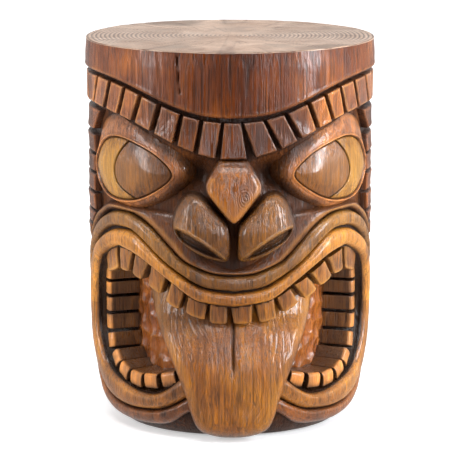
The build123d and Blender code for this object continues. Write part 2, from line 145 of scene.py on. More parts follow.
# Corners of the upper teeth: low towards -X, low towards +X, high towards +X, high towards -X
UPPER_TEETH = [
    [(-69.5, 203), (-59, 213.5), (-59.2, 238.5), (-70.5, 226)],
    [(-57.4, 214), (-51, 213), (-48.2, 238), (-57.3, 239)],
    [(-48.9, 212), (-42.8, 205), (-39.4, 225), (-46.8, 235)],
    [(-39.2, 199.5), (-32.5, 189.5), (-30.3, 209), (-37.8, 221)],
    [(-30.3, 181.5), (-23.7, 171.5), (-21.5, 193), (-27.9, 203)],
    [(-20.8, 168), (-12.3, 160), (-11, 182), (-19.7, 189.5)],
    [(-10.3, 157), (-2.7, 155.5), (-2.4, 177), (-10.2, 180.5)],
    [(0.1, 156), (8, 156), (8.3, 177), (-0.9, 177)],
    [(11.2, 156.5), (18.9, 161), (17.8, 183), (9.7, 177.5)],
    [(21.9, 167.5), (29.5, 178.5), (26.3, 194.5), (19.6, 183.5)],
    [(32.5, 182.5), (39.5, 193), (35.1, 208), (28.5, 198.5)],
    [(41.2, 196.5), (48.8, 206.5), (44.8, 224.5), (37, 211.5)],
    [(50.2, 208.5), (57.2, 212), (56.3, 234.5), (46.9, 227)],
    [(59.1, 212.5), (69.5, 203), (70.5, 228), (58.2, 235)],
]
LOWER_TEETH = [
    (72, 199, 0, 16), (72, 180, 0, 18), (71.5, 158.5, 0, 20), (71, 135.5, 4, 21), (68.5, 113, 14, 21),
    (62.5, 96, 38, 20), (56, 86, 62, 21), (48, 81, 82, 23), (39.5, 82, 94, 23), (30.5, 87, 104, 23),
]
TONGUE_LINE = [
    (107, 200), (103, 176), (97, 152), (88, 128), (79, 106), (63, 66), (54, 36), (43, 15),
    (22, 6), (0, 4),
]
TONGUE_FRONT = [
    (150, 202), (159, 165), (176, 140), (187, 112), (191, 84), (190, 50), (186, 20), (173, 4),
]


def forehead_edge(a):
    """Height of the forehead's lower edge at an angle."""
    return 472.0 - 47.0 * np.exp(-((np.abs(a) / 38.0) ** 2.4))


def brow_bottom(a):
    """Height of the brow blocks' lower ends at an angle."""
    return 430.0 - 58.0 * np.exp(-((np.abs(a) / 37.6) ** 2.1))


# ---------------------------------------------------------------- numbers
def ease(x):
    """0 below 0, 1 above 1, and smooth between."""
    x = np.clip(x, 0.0, 1.0)
    return x * x * (3.0 - 2.0 * x)


def bell(x, width):
    return np.exp(-((x / width) ** 2))


def lattice(ix, iy, iz, seed):
    """A repeatable number from 0 to 1 for each corner of a lattice."""
    n = (ix * 73856093) ^ (iy * 19349663) ^ (iz * 83492791) ^ (seed * 40503 + 977)
    n = n & 0xFFFFFFFF
    for _ in range(2):
        n = ((n ^ (n >> 16)) * 0x45D9F3B) & 0xFFFFFFFF
    n = n ^ (n >> 16)
    return (n & 0xFFFF) / 65535.0


def noise(x, y, z=0.0, seed=0):
    """Smooth noise from -1 to 1, with one lump or hollow for about each unit."""
    x, y, z = np.broadcast_arrays(np.asarray(x, float), np.asarray(y, float), np.asarray(z, float))
    x0, y0, z0 = (np.floor(c).astype(np.int64) for c in (x, y, z))
    fx, fy, fz = ease(x - x0), ease(y - y0), ease(z - z0)
    total = np.zeros(x.shape)
    for dx in (0, 1):
        for dy in (0, 1):
            for dz in (0, 1):
                weight = (fx if dx else 1 - fx) * (fy if dy else 1 - fy) * (fz if dz else 1 - fz)
                total += weight * lattice(x0 + dx, y0 + dy, z0 + dz, seed)
    return total * 2.0 - 1.0


def curve(points, t):
    """The smooth line through points, at places t counted in points from the first."""
    p = np.asarray(points, float)
    p = np.vstack([2 * p[0] - p[1], p, 2 * p[-1] - p[-2]])
    t = np.asarray(t, float)
    i = np.clip(np.floor(t).astype(int), 0, len(p) - 4)
    f = (t - i)[..., None]
    a, b, c, d = p[i], p[i + 1], p[i + 2], p[i + 3]
    return 0.5 * (2 * b + (c - a) * f + (2 * a - 5 * b + 4 * c - d) * f**2 + (3 * b - a - 3 * c + d) * f**3)


def loop(points, count):
    """count points spread evenly along the smooth closed line through points."""
    p = np.asarray(points, float)
    n = len(p)
    wrapped = np.vstack([p[-2:], p, p[:3]])
    fine = curve(wrapped, np.linspace(2, n + 2, 40 * n + 1))
    along = np.concatenate([[0], np.cumsum(np.hypot(*np.diff(fine, axis=0).T))])
    places = np.linspace(0, along[-1], count, endpoint=False)
    return np.stack([np.interp(places, along, fine[:, k]) for k in (0, 1)], -1)


def straight_loop(points, count, soften=2):
    """count points spread evenly along a closed line of straight runs, with softened corners."""
    p = np.vstack([points, points[:1]]).astype(float)
    along = np.concatenate([[0], np.cumsum(np.hypot(*np.diff(p, axis=0).T))])
    places = np.linspace(0, along[-1], count, endpoint=False)
    q = np.stack([np.interp(places, along, p[:, k]) for k in (0, 1)], -1)
    for _ in range(soften):
        q = (np.roll(q, 1, 0) + 2 * q + np.roll(q, -1, 0)) / 4
    return q


def table(pairs, x):
    """Smooth value at x of a line given as (value, place) pairs."""
    pairs = sorted(pairs, key=lambda p: p[1])
    ys = np.array([p[0] for p in pairs], float)
    xs = np.array([p[1] for p in pairs], float)
    slope = np.gradient(ys, xs)
    x = np.clip(np.asarray(x, float), xs[0], xs[-1])
    i = np.clip(np.searchsorted(xs, x) - 1, 0, len(xs) - 2)
    h = xs[i + 1] - xs[i]
    f = (x - xs[i]) / h
    return (
        (1 + 2 * f) * (1 - f) ** 2 * ys[i]
        + f * (1 - f) ** 2 * h * slope[i]
        + f**2 * (3 - 2 * f) * ys[i + 1]
        + f**2 * (f - 1) * h * slope[i + 1]
    )


def away_from(x, y, line, closed=True):
    """Distance from each point to a line of straight runs."""
    p = np.asarray(line, float)
    q = np.roll(p, -1, 0) if closed else p[1:]
    p = p if closed else p[:-1]
    best = np.full(np.shape(x), 1e9)
    for (ax, ay), (bx, by) in zip(p, q):
        dx, dy = bx - ax, by - ay
        length = dx * dx + dy * dy + 1e-12
        f = np.clip(((x - ax) * dx + (y - ay) * dy) / length, 0, 1)
        best = np.minimum(best, np.hypot(x - ax - f * dx, y - ay - f * dy))
    return best


def within(x, y, line):
    """True where a point is inside a closed line."""
    p = np.asarray(line, float)
    q = np.roll(p, -1, 0)
    inside = np.zeros(np.shape(x), bool)
    for (ax, ay), (bx, by) in zip(p, q):
        crosses = (ay > y) != (by > y)
        if ay != by:
            inside ^= crosses & (x < (bx - ax) * (y - ay) / (by - ay) + ax)
    return inside


def developed(points):
    """Angle and height as millimetres on the unrolled log."""
    p = np.asarray(points, float)
    return np.stack([p[:, 0] * PER_DEGREE, p[:, 1]], -1)


# ---------------------------------------------------------------- places
def on_log(a, z, r):
    """Points from angle, height and distance from the axis."""
    a, z, r = np.broadcast_arrays(np.radians(a), z, r)
    return np.stack([r * np.sin(a), -r * np.cos(a), z], -1)


def from_front(x, z, r):
    """Points from sideways place, height and distance from the axis."""
    x, z, r = np.broadcast_arrays(x, z, r)
    return np.stack([x, -np.sqrt(np.maximum(r * r - x * x, 1.0)), z], -1)


def log_radius(z):
    return table(LOG_PROFILE, z)


def ground(a, z):
    """The log's outside, with the scoops beside the nose and the dished planes round them."""
    away = np.abs(a)
    r = log_radius(z)
    r = r - 19.0 * bell(away - 15.5, 9.0) * bell(z - 352, 23.0)
    r = r - 7.0 * bell(away - 22.0, 13.0) * bell(z - 322, 26.0)
    r = r - 3.0 * bell(away - 40.0, 22.0) * bell(z - 288, 12.0)
    return r


def furrows(a, z, seed, width=5.0, run=90.0):
    """Upright carved grain, from -1 to 0."""
    s = a * PER_DEGREE
    bend = 2.5 * noise(s / 40, z / 60, seed + 5.0, seed)
    ridge = np.abs(noise((s + bend) / width, z / run, 0.0, seed))
    fine = np.abs(noise((s + bend) / (width * 0.45), z / (run * 0.6), 0.0, seed + 1))
    return -(1 - ease(ridge / 0.38)) * 0.7 - (1 - ease(fine / 0.3)) * 0.3


def lumps(a, z, seed, size=22.0):
    """The unevenness of hand carving, from -1 to 1."""
    s = np.asarray(a) * PER_DEGREE
    broad = noise(s / size, z / size, 0.5, seed)
    return 0.65 * broad + 0.35 * noise(s / size * 2.3, z / size * 1.7, 3.5, seed)


def round_over(d, edge):
    """How far a face has dropped at a distance from its edge, with a rounded edge of that radius."""
    k = edge - np.clip(d, 0, edge)
    return edge - np.sqrt(np.maximum(edge * edge - k * k, 0))


def spread(width, edge, step):
    """Places across a width: doubled at both ends for the walls, close over the rounded edges."""
    edge = min(edge, width * 0.45)
    near = edge * (1 - np.cos(np.linspace(0, math.pi / 2, 5)))
    count = max(2, int((width - 2 * edge) / step) + 1)
    middle = np.linspace(edge, width - edge, count + 1)[1:-1]
    return np.concatenate([[0], near, middle, width - near[::-1], [width]]) / width


def most(*fields):
    """The largest of several fields, point by point."""
    return functools.reduce(np.maximum, fields)


def grooved(grain, depth=0.8):
    """1 in the bottom of the carved grain, fading to 0 on its ridges."""
    return 1 - ease((grain + 1) / depth)


def between(corners, u, v):
    """Points between four corners: low left, low right, high right and high left."""
    low_left, low_right, high_right, high_left = (np.asarray(c, float) for c in corners)
    u, v = u[..., None], v[..., None]
    low = low_left * (1 - u) + low_right * u
    high = high_left * (1 - u) + high_right * u
    return low * (1 - v) + high * v


def outer_ring(shape):
    """True for the points on the border of a sheet."""
    ring = np.zeros(shape, bool)
    ring[[0, -1]] = True
    ring[:, [0, -1]] = True
    return ring


def shrinking(outline, middle, count, reach, power):
    """Copies of an outline that close in on its middle; the first comes twice, for the wall under it."""
    t = np.concatenate([[1.0], 1 - np.linspace(0, reach, count) ** power])
    rings = np.asarray(middle) + (outline - np.asarray(middle)) * t[:, None, None]
    return rings[..., 0], rings[..., 1]


# ---------------------------------------------------------------- meshes
def cells(rows, cols, wrap):
    """The number of each point of a sheet, and the four-sided faces between them."""
    index = np.arange(rows * cols).reshape(rows, cols)
    if wrap:
        index = np.hstack([index, index[:, :1]])
    faces = np.stack([index[:-1, :-1], index[:-1, 1:], index[1:, 1:], index[1:, :-1]], -1)
    return index, faces.reshape(-1, 4)


class Piece:
    """Gathers points, faces and the two shading values of one piece (painted shade, and wear with a little
    painted highlight), then makes its object.
    """

    def __init__(self, name):
        self.name = name
        self.points, self.faces, self.deep, self.wear_and_highlight = [], [], [], []
        self.count = 0

    def add(self, points, faces, deep, wear_and_highlight):
        self.points.append(points.reshape(-1, 3))
        self.faces += [[i + self.count for i in face] for face in faces]
        self.deep.append(np.ravel(deep))
        self.wear_and_highlight.append(np.ravel(wear_and_highlight))
        self.count += len(self.points[-1])

    def grid(self, points, deep, wear_and_highlight, wrap=False, back=True, keep=None):
        """A sheet of cells, closed from edge to edge at the back."""
        index, sheet = cells(*points.shape[:2], wrap)
        faces = (sheet if keep is None else sheet[keep.ravel()]).tolist()
        if back:
            faces += np.stack([index[0, 1:], index[0, :-1], index[-1, :-1], index[-1, 1:]], -1).tolist()
            if not wrap:
                faces += [index[:, 0].tolist(), index[::-1, -1].tolist()]
        deep, wear_and_highlight = (np.broadcast_to(field, points.shape[:2]) for field in (deep, wear_and_highlight))
        self.add(points, faces, deep, wear_and_highlight)

    def dome(self, points, deep, wear_and_highlight, back=None):
        """Rings from the outline to the middle, closed at the middle and at the back."""
        index, sheet = cells(*points.shape[:2], True)
        middle = points[-1].mean(0)
        behind = points[0].mean(0) if back is None else np.asarray(back, float)
        everything = np.vstack([points.reshape(-1, 3), middle, behind])
        top, under = len(everything) - 2, len(everything) - 1
        faces = sheet.tolist()
        faces += [[i, j, top] for i, j in zip(index[-1], index[-1, 1:])]
        faces += [[j, i, under] for i, j in zip(index[0], index[0, 1:])]
        deep = np.concatenate([deep.ravel(), [deep[-1].mean(), 1.0]])
        wear_and_highlight = np.concatenate([wear_and_highlight.ravel(), [wear_and_highlight[-1].mean(), 0.0]])
        self.add(everything, faces, deep, wear_and_highlight)

    def make(self, nodes, material, crease=60):
        """Makes the object: it stands for the CAD nodes named, and edges sharper than crease stay sharp."""
        mesh = bpy.data.meshes.new(self.name)
        mesh.from_pydata((np.vstack(self.points) * MM).tolist(), [], self.faces)
        mesh.validate()
        skin = bmesh.new()
        skin.from_mesh(mesh)
        bmesh.ops.recalc_face_normals(skin, faces=skin.faces)
        skin.to_mesh(mesh)
        skin.free()
        # Two values for each point: painted shade, and wear with a little painted highlight
        for label, values in (("deep", self.deep), ("wear_and_highlight", self.wear_and_highlight)):
            field = mesh.attributes.new(label, "FLOAT", "POINT")
            field.data.foreach_set("value", np.clip(np.concatenate(values), 0, 1).astype(np.float32))
        mesh.shade_smooth()
        mesh.set_sharp_from_angle(angle=math.radians(crease))
        mesh.materials.append(material)
        piece = bpy.data.objects.new(self.name, mesh)
        bpy.context.scene.collection.objects.link(piece)
        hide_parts(*nodes)
        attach(piece, "root")


# ---------------------------------------------------------------- materials
def linear(r, g, b):
    """A colour given as 0 to 255, for a shader."""
    shares = (c / 255 for c in (r, g, b))
    return (*(c / 12.92 if c <= 0.04045 else ((c + 0.055) / 1.055) ** 2.4 for c in shares), 1.0)


def grey(v):
    return (v, v, v, 1)


def node(tree, kind, **values):
    """A new node, with its sockets and settings set by name."""
    n = tree.nodes.new(kind)
    for key, value in values.items():
        if key in n.inputs:
            n.inputs[key].default_value = value
        else:
            setattr(n, key, value)
    return n


def fill(tree, sockets, values):
    """Links each socket to another one, or sets it to a number or colour."""
    for socket, value in zip(sockets, values):
        if isinstance(value, bpy.types.NodeSocket):
            tree.links.new(value, socket)
        else:
            socket.default_value = value


def ramp(tree, source, stops):
    n = node(tree, "ShaderNodeValToRGB")
    while len(n.color_ramp.elements) < len(stops):
        n.color_ramp.elements.new(0.5)
    for element, (place, colour) in zip(n.color_ramp.elements, stops):
        element.position = place
        element.color = colour
    tree.links.new(source, n.inputs["Fac"])
    return n.outputs["Color"]


def mixed(tree, kind, factor, a, b):
    n = node(tree, "ShaderNodeMix", data_type="RGBA", blend_type=kind, clamp_factor=True)
    fill(tree, (n.inputs[0], n.inputs[6], n.inputs[7]), (factor, a, b))
    return n.outputs[2]


def maths(tree, operation, a, b=0.0):
    n = node(tree, "ShaderNodeMath", operation=operation)
    fill(tree, n.inputs, (a, b))
    return n.outputs[0]


def weighted(tree, a, share_a, b, share_b):
    """The sum of two values, each times its share."""
    return maths(tree, "ADD", maths(tree, "MULTIPLY", a, share_a), maths(tree, "MULTIPLY", b, share_b))


def stretched(tree, place, scale):
    """Coordinates with a scale of their own along each axis."""
    m = node(tree, "ShaderNodeMapping", Scale=scale)
    tree.links.new(place, m.inputs["Vector"])
    return m.outputs["Vector"]


def stretched_noise(tree, place, scale, detail, roughness, distortion):
    """Noise with a different size along each axis, in lumps per metre."""
    settings = {"Detail": detail, "Roughness": roughness, "Distortion": distortion}
    n = node(tree, "ShaderNodeTexNoise", Scale=1.0, **settings)
    tree.links.new(stretched(tree, place, scale), n.inputs["Vector"])
    return n.outputs["Fac"]


def painted(tree, label):
    """One of the two values that each point of a piece carries."""
    return node(tree, "ShaderNodeAttribute", attribute_name=label).outputs["Fac"]


def axis(tree, place, number):
    """One coordinate of a place: 0 for X, 1 for Y."""
    split = node(tree, "ShaderNodeSeparateXYZ")
    tree.links.new(place, split.inputs[0])
    return split.outputs[number]


def blank_material(name):
    """An empty material, its tree, and the place on the object."""
    material = bpy.data.materials.new(name)
    material.use_nodes = True
    tree = material.node_tree
    tree.nodes.clear()
    return material, tree, node(tree, "ShaderNodeTexCoord").outputs["Object"]


def finish_material(tree, shader, colour, gloss, height, strength, distance):
    """Links colour, roughness and relief to the shader, and the shader to the surface."""
    relief = node(tree, "ShaderNodeBump", Strength=strength, Distance=distance)
    out = node(tree, "ShaderNodeOutputMaterial")
    sources = (colour, gloss, height, relief.outputs["Normal"], shader.outputs["BSDF"])
    sockets = (shader.inputs["Base Color"], shader.inputs["Roughness"], relief.inputs["Height"],
               shader.inputs["Normal"], out.inputs["Surface"])
    fill(tree, sockets, sources)


SHADE_TONE = (34, 18, 10)  # the colour of the painted shade in the hollows, creases and gaps


def carved_wood(name, dark, middle, light, wear_and_highlight, stain_and_shade, rough=0.25, coat=0.3, figure=0.0, swirl=0.35,
                bump=1.0, shine=0.5, middle_shade=(0.46, 0.38, 0.27)):
    """Stained and sealed carved wood: upright fibres, streaks, painted shade in the hollows, worn edges and
    the eyelids' painted highlight.

    stain tints the colours, a painted shade down the middle of the face darkens and reddens them again,
    and figure is how dark the lines of a flowing grain are.
    """
    material, t, place = blank_material(name)
    fibre = stretched_noise(t, place, (420, 420, 11), 5, 0.62, swirl)
    hair = stretched_noise(t, place, (820, 820, 24), 3, 0.6, 0.2)
    streak = stretched_noise(t, place, (70, 70, 7), 3, 0.55, 0.6)
    cloud = stretched_noise(t, place, (16, 16, 11), 4, 0.6, 0.4)
    tone = weighted(t, streak, 0.3, cloud, 0.7)
    colour = ramp(t, tone, [(0.36, linear(*dark)), (0.5, linear(*middle)), (0.63, linear(*light))])
    if figure:
        detail = {"Detail Scale": 0.55, "Detail Roughness": 0.55}
        wave = node(t, "ShaderNodeTexWave", Scale=1.0, Distortion=5.5, Detail=2.5, **detail)
        t.links.new(stretched(t, place, (34, 34, 7.5)), wave.inputs["Vector"])
        lines = ramp(t, wave.outputs["Fac"], [(0.0, grey(1 - figure)), (0.28, grey(1)), (1.0, grey(1))])
        colour = mixed(t, "MULTIPLY", 1.0, colour, lines)
    pores = ramp(t, fibre, [(0.38, grey(0.30)), (0.47, grey(0.9)), (0.62, grey(1.18))])
    colour = mixed(t, "MULTIPLY", 0.85, colour, pores)
    hairs = ramp(t, hair, [(0.38, grey(0.45)), (0.5, grey(1.0))])
    colour = mixed(t, "MULTIPLY", 0.6, colour, hairs)
    patchy = ramp(t, cloud, [(0.35, grey(0.35)), (0.6, grey(1.0))])
    rubbed = maths(t, "MULTIPLY", painted(t, "wear_and_highlight"), patchy)
    colour = mixed(t, "MIX", rubbed, colour, linear(*wear_and_highlight))
    colour = mixed(t, "MULTIPLY", 1.0, colour, (*stain_and_shade, 1.0))
    # Painted shade: darkest and reddest down the middle of the face, fading out towards the sides
    sideways = maths(t, "MULTIPLY", maths(t, "ABSOLUTE", axis(t, place, 0)), 5.0)
    halfway = tuple(c**0.6 for c in middle_shade)
    front_shade = ramp(t, sideways, [(0.0, (*middle_shade, 1)), (0.35, (*halfway, 1)), (0.85, grey(1.0))])
    colour = mixed(t, "MULTIPLY", 1.0, colour, front_shade)
    # Painted shade in the hollows, creases and gaps, from the value that each point carries
    colour = mixed(t, "MIX", maths(t, "MULTIPLY", painted(t, "deep"), 0.93), colour, linear(*SHADE_TONE))
    coating = {"Specular IOR Level": shine, "Coat Weight": coat, "Coat Roughness": 0.14}
    shader = node(t, "ShaderNodeBsdfPrincipled", **coating)
    sheen = weighted(t, fibre, 0.6, cloud, 0.4)
    gloss = ramp(t, sheen, [(0.35, grey(min(1.0, rough + 0.14))), (0.6, grey(rough))])
    ridges = ramp(t, fibre, [(0.38, grey(0)), (0.55, grey(1))])
    finish_material(t, shader, colour, gloss, weighted(t, ridges, 1.0, hair, 0.5), 0.55 * bump, 0.0011)
    return material


WOOD = {
    "log": carved_wood(
        "stained_log", (70, 38, 24), (106, 62, 38), (140, 84, 48), (176, 122, 76),
        stain_and_shade=(1.05, 1.0, 0.65), shine=0.18, coat=0.06,
    ),
    "forehead": carved_wood(
        "forehead_wood", (84, 42, 24), (120, 66, 38), (150, 90, 50), (176, 122, 76),
        stain_and_shade=(1.0, 0.9, 0.6), bump=0.7, shine=0.3, coat=0.18, middle_shade=(0.42, 0.33, 0.2),
    ),
    "lid": carved_wood(
        "lid_wood", (66, 38, 24), (98, 60, 38), (130, 84, 52), (160, 110, 70),
        stain_and_shade=(3.0, 2.75, 1.8), bump=0.9,
    ),
    "brow": carved_wood(
        "brow_wood", (84, 46, 28), (122, 72, 44), (158, 98, 56), (196, 142, 88),
        stain_and_shade=(1.95, 1.8, 1.2), bump=1.2, middle_shade=(0.15, 0.105, 0.06),
    ),
    "side": carved_wood(
        "side_wood", (66, 36, 24), (98, 58, 38), (128, 78, 50), (176, 116, 76),
        stain_and_shade=(1.2, 1.0, 0.6), bump=1.1, shine=0.25, coat=0.15,
    ),
    "iris": carved_wood(
        "iris_wood", (112, 70, 40), (156, 104, 60), (190, 132, 76), (208, 150, 92),
        stain_and_shade=(0.6, 0.5, 0.25), bump=0.6,
    ),
    "white": carved_wood(
        "eye_white_wood", (160, 106, 44), (198, 138, 66), (222, 164, 86), (226, 172, 100),
        stain_and_shade=(0.65, 0.6, 0.3), bump=0.5,
    ),
    "nose": carved_wood(
        "nose_wood", (104, 62, 32), (152, 96, 48), (192, 130, 64), (206, 148, 84),
        stain_and_shade=(1.1, 0.95, 0.45), figure=0.35,
    ),
    "nostril": carved_wood(
        "nostril_wood", (96, 60, 38), (142, 94, 56), (182, 124, 68), (196, 146, 96),
        stain_and_shade=(0.75, 0.7, 0.35),
    ),
    "lip": carved_wood(
        "lip_wood", (148, 94, 44), (190, 128, 62), (214, 152, 78), (220, 160, 84),
        stain_and_shade=(1.1, 1.0, 0.5), bump=0.9,
    ),
    "lip_outer": carved_wood(
        "outer_lip_wood", (128, 84, 48), (172, 118, 66), (200, 142, 80), (208, 152, 88),
        stain_and_shade=(0.75, 0.7, 0.4),
    ),
    "lip_low": carved_wood(
        "lower_lip_wood", (112, 68, 34), (156, 100, 50), (188, 128, 66), (206, 146, 78),
        stain_and_shade=(1.1, 1.0, 0.5),
    ),
    "lip_low_outer": carved_wood(
        "lower_outer_lip_wood", (86, 50, 30), (122, 74, 44), (150, 94, 56), (168, 112, 66),
        stain_and_shade=(1.2, 1.05, 0.6),
    ),
    "cheek": carved_wood(
        "cheek_wood", (96, 56, 34), (122, 74, 46), (148, 92, 58), (196, 140, 88),
        stain_and_shade=(0.65, 0.6, 0.4), shine=0.35, coat=0.2, middle_shade=(0.6, 0.5, 0.4),
    ),
    "tooth": carved_wood(
        "tooth_wood", (118, 74, 44), (162, 106, 62), (190, 130, 74), (212, 156, 90),
        stain_and_shade=(1.0, 0.9, 0.45),
    ),
    "molar": carved_wood(
        "lower_tooth_wood", (70, 44, 30), (98, 64, 42), (128, 84, 52), (184, 120, 60),
        stain_and_shade=(2.3, 2.2, 1.5),
    ),
    "lining": carved_wood(
        "mouth_lining_wood", (108, 56, 26), (160, 92, 48), (196, 122, 66), (214, 150, 92),
        stain_and_shade=(0.85, 0.75, 0.45), rough=0.2, bump=0.5,
    ),
    "tongue": carved_wood(
        "tongue_wood", (128, 76, 34), (174, 112, 52), (202, 140, 70), (206, 150, 84),
        stain_and_shade=(1.1, 1.0, 0.4), figure=0.3, swirl=1.6, bump=0.9,
    ),
    "wall": carved_wood(
        "mouth_wall_wood", (56, 38, 28), (78, 54, 40), (100, 70, 50), (140, 98, 62),
        stain_and_shade=(0.7, 0.6, 0.35),
    ),
}


def end_grain(name):
    """The sealed end of the log: growth rings round the axis, crossed by fine cracks."""
    material, t, place = blank_material(name)
    x, y = axis(t, place, 0), axis(t, place, 1)
    radius = maths(t, "SQRT", maths(t, "ADD", maths(t, "MULTIPLY", x, x), maths(t, "MULTIPLY", y, y)))
    wobble = stretched_noise(t, place, (14, 14, 14), 3, 0.5, 0.3)
    phase = weighted(t, radius, RING_PHASE, wobble, 3.0)
    rings = maths(t, "ADD", maths(t, "MULTIPLY", maths(t, "SINE", phase), 0.5), 0.5)
    cloud = stretched_noise(t, place, (22, 22, 22), 4, 0.6, 0.5)
    fleck = stretched_noise(t, place, (420, 420, 420), 3, 0.6, 0.0)
    # Pale greyish-pink tones: partly the end grain's own colour, partly a painted reflection of the bright
    # surroundings on the sealed top
    tones_and_sheen = [(0.3, linear(160, 131, 111)), (0.52, linear(180, 152, 132)), (0.7, linear(198, 171, 150))]
    ring_tones = [(0.0, grey(0.42)), (0.3, grey(0.88)), (1.0, grey(1.12))]
    colour = mixed(t, "MULTIPLY", 0.9, ramp(t, cloud, tones_and_sheen), ramp(t, rings, ring_tones))
    colour = mixed(t, "MULTIPLY", 0.6, colour, ramp(t, fleck, [(0.36, grey(0.6)), (0.5, grey(1.0))]))
    colour = mixed(t, "MIX", painted(t, "wear_and_highlight"), colour, linear(186, 146, 112))
    # Painted shade from the value that each point carries: cracks, ring troughs and the rim
    colour = mixed(t, "MIX", maths(t, "MULTIPLY", painted(t, "deep"), 0.9), colour, linear(52, 34, 26))
    shader = node(t, "ShaderNodeBsdfPrincipled", **{"Coat Weight": 0.3, "Coat Roughness": 0.3})
    gloss = ramp(t, cloud, [(0.3, grey(0.5)), (0.7, grey(0.36))])
    height = maths(t, "ADD", rings, maths(t, "MULTIPLY", fleck, 0.4))
    finish_material(t, shader, colour, gloss, height, 0.7, 0.0009)
    return material


def plain_part(name, low, high, rough, metallic, scale, bump):
    """A board, metal or rubber part: two tones, uneven gloss and a fine surface."""
    material, t, place = blank_material(name)
    tone = stretched_noise(t, place, scale, 5, 0.6, 0.3)
    speck = stretched_noise(t, place, tuple(s * 6 for s in scale), 3, 0.6, 0.0)
    colour = ramp(t, tone, [(0.35, linear(*low)), (0.65, linear(*high))])
    colour = mixed(t, "MULTIPLY", 0.5, colour, ramp(t, speck, [(0.36, grey(0.6)), (0.55, grey(1.0))]))
    gloss = ramp(t, speck, [(0.3, grey(min(1, rough + 0.15))), (0.7, grey(rough))])
    shader = node(t, "ShaderNodeBsdfPrincipled", Metallic=metallic)
    finish_material(t, shader, colour, gloss, maths(t, "ADD", tone, speck), 0.4, bump)
    return material


# ---------------------------------------------------------------- log
def log_body():
    """The log's outside, open at the mouth, with painted shade round each carved piece, in its hollows and
    towards the foot.
    """
    face = np.arange(-104, 104.1, 0.64)
    rear = np.arange(105.2, 255.0, 1.25)
    heights = np.concatenate([[2.0, 2.0, 2.6, 3.8], np.arange(6, 480, 2.0)])
    a, z = np.meshgrid(np.concatenate([face, rear]), heights)
    a = (a + 180) % 360 - 180
    away = np.abs(a)
    plain = 1 - ease((104 - away) / 20)
    grain, run = 6.5, 120.0
    r = ground(a, z) + furrows(a, z, 3, grain, run) * (0.5 + 0.9 * plain)
    r += lumps(a, z, 4, 30.0) * (0.5 + 0.7 * plain)
    r[0] = BASE_LEDGE_RADIUS
    r[1] -= 1.6
    r[2] -= 0.5
    # A row under the forehead band, turned in to close the edge
    cut = forehead_edge(a) + 6
    z = np.minimum(z, cut)
    r = np.where(z >= cut - 0.01, np.minimum(r, 172.0), r)
    mouth = developed(curve(MOUTH_LINE, np.linspace(0, len(MOUTH_LINE) - 1, 140)))
    outline = np.vstack([mouth, mouth[::-1] * [-1, 1]])
    s = a * PER_DEGREE
    in_mouth = within(s, z, outline) & (away_from(s, z, outline[::2]) > 3.0)
    hole = in_mouth[:-1] | in_mouth[1:]
    flat = np.ptp(np.stack([z[:-1], z[1:]]), axis=0) < 0.01
    flat[0] = False
    keep = ~(hole | np.roll(hole, -1, 1)) & ~(flat & np.roll(flat, -1, 1))
    lid = developed(loop(LID_LINE, 90))
    # Painted shade: in the scoops, round and behind the pieces that stand out, in the carved grain and darker
    # towards the foot
    deep = most(
        0.92 * bell(away - 15.5, 10.0) * bell(z - 352, 28.0),  # the scoops beside the nose
        0.68 * bell(away - 36.0, 30.0) * bell(z - 290, 24.0),  # under the eyes
        0.72 * bell(a, 9.0) * bell(z - 234, 16.0),  # under the nose
        0.85 * ((z > brow_bottom(a) - 6) & (z < forehead_edge(a) + 8)),  # behind the brow blocks
        0.9 * ((away > 70) & (away < 118) & (z > 244) & (z < 428)),  # behind the side blocks
        0.7 * bell(away_from(np.abs(s), z, lid), 4.0) * (away > 24),
        0.6 * ease((14 - z) / 12),
        0.72 * ease((92 - z) / 55),  # painted shade, darker towards the foot
        0.35 * grooved(furrows(a, z, 3, grain, run)),
    )
    # Painted shade along the lines of the lips and the mouth
    for line, wide, dark in ((LIP_OUTER_LINE, 7, 0.95), (LIP_GROOVE_LINE, 8, 1.0), (MOUTH_LINE, 12, 1.0)):
        edge = developed(curve(line, np.linspace(0, len(line) - 1, 110)))
        deep = most(deep, dark * bell(away_from(np.abs(s), z, edge, False), wide))
    log = Piece("log_body")
    log.grid(on_log(a, z, r), deep, 0.0, wrap=True, back=False, keep=keep)
    log.make(["trunk"], WOOD["log"], crease=75)


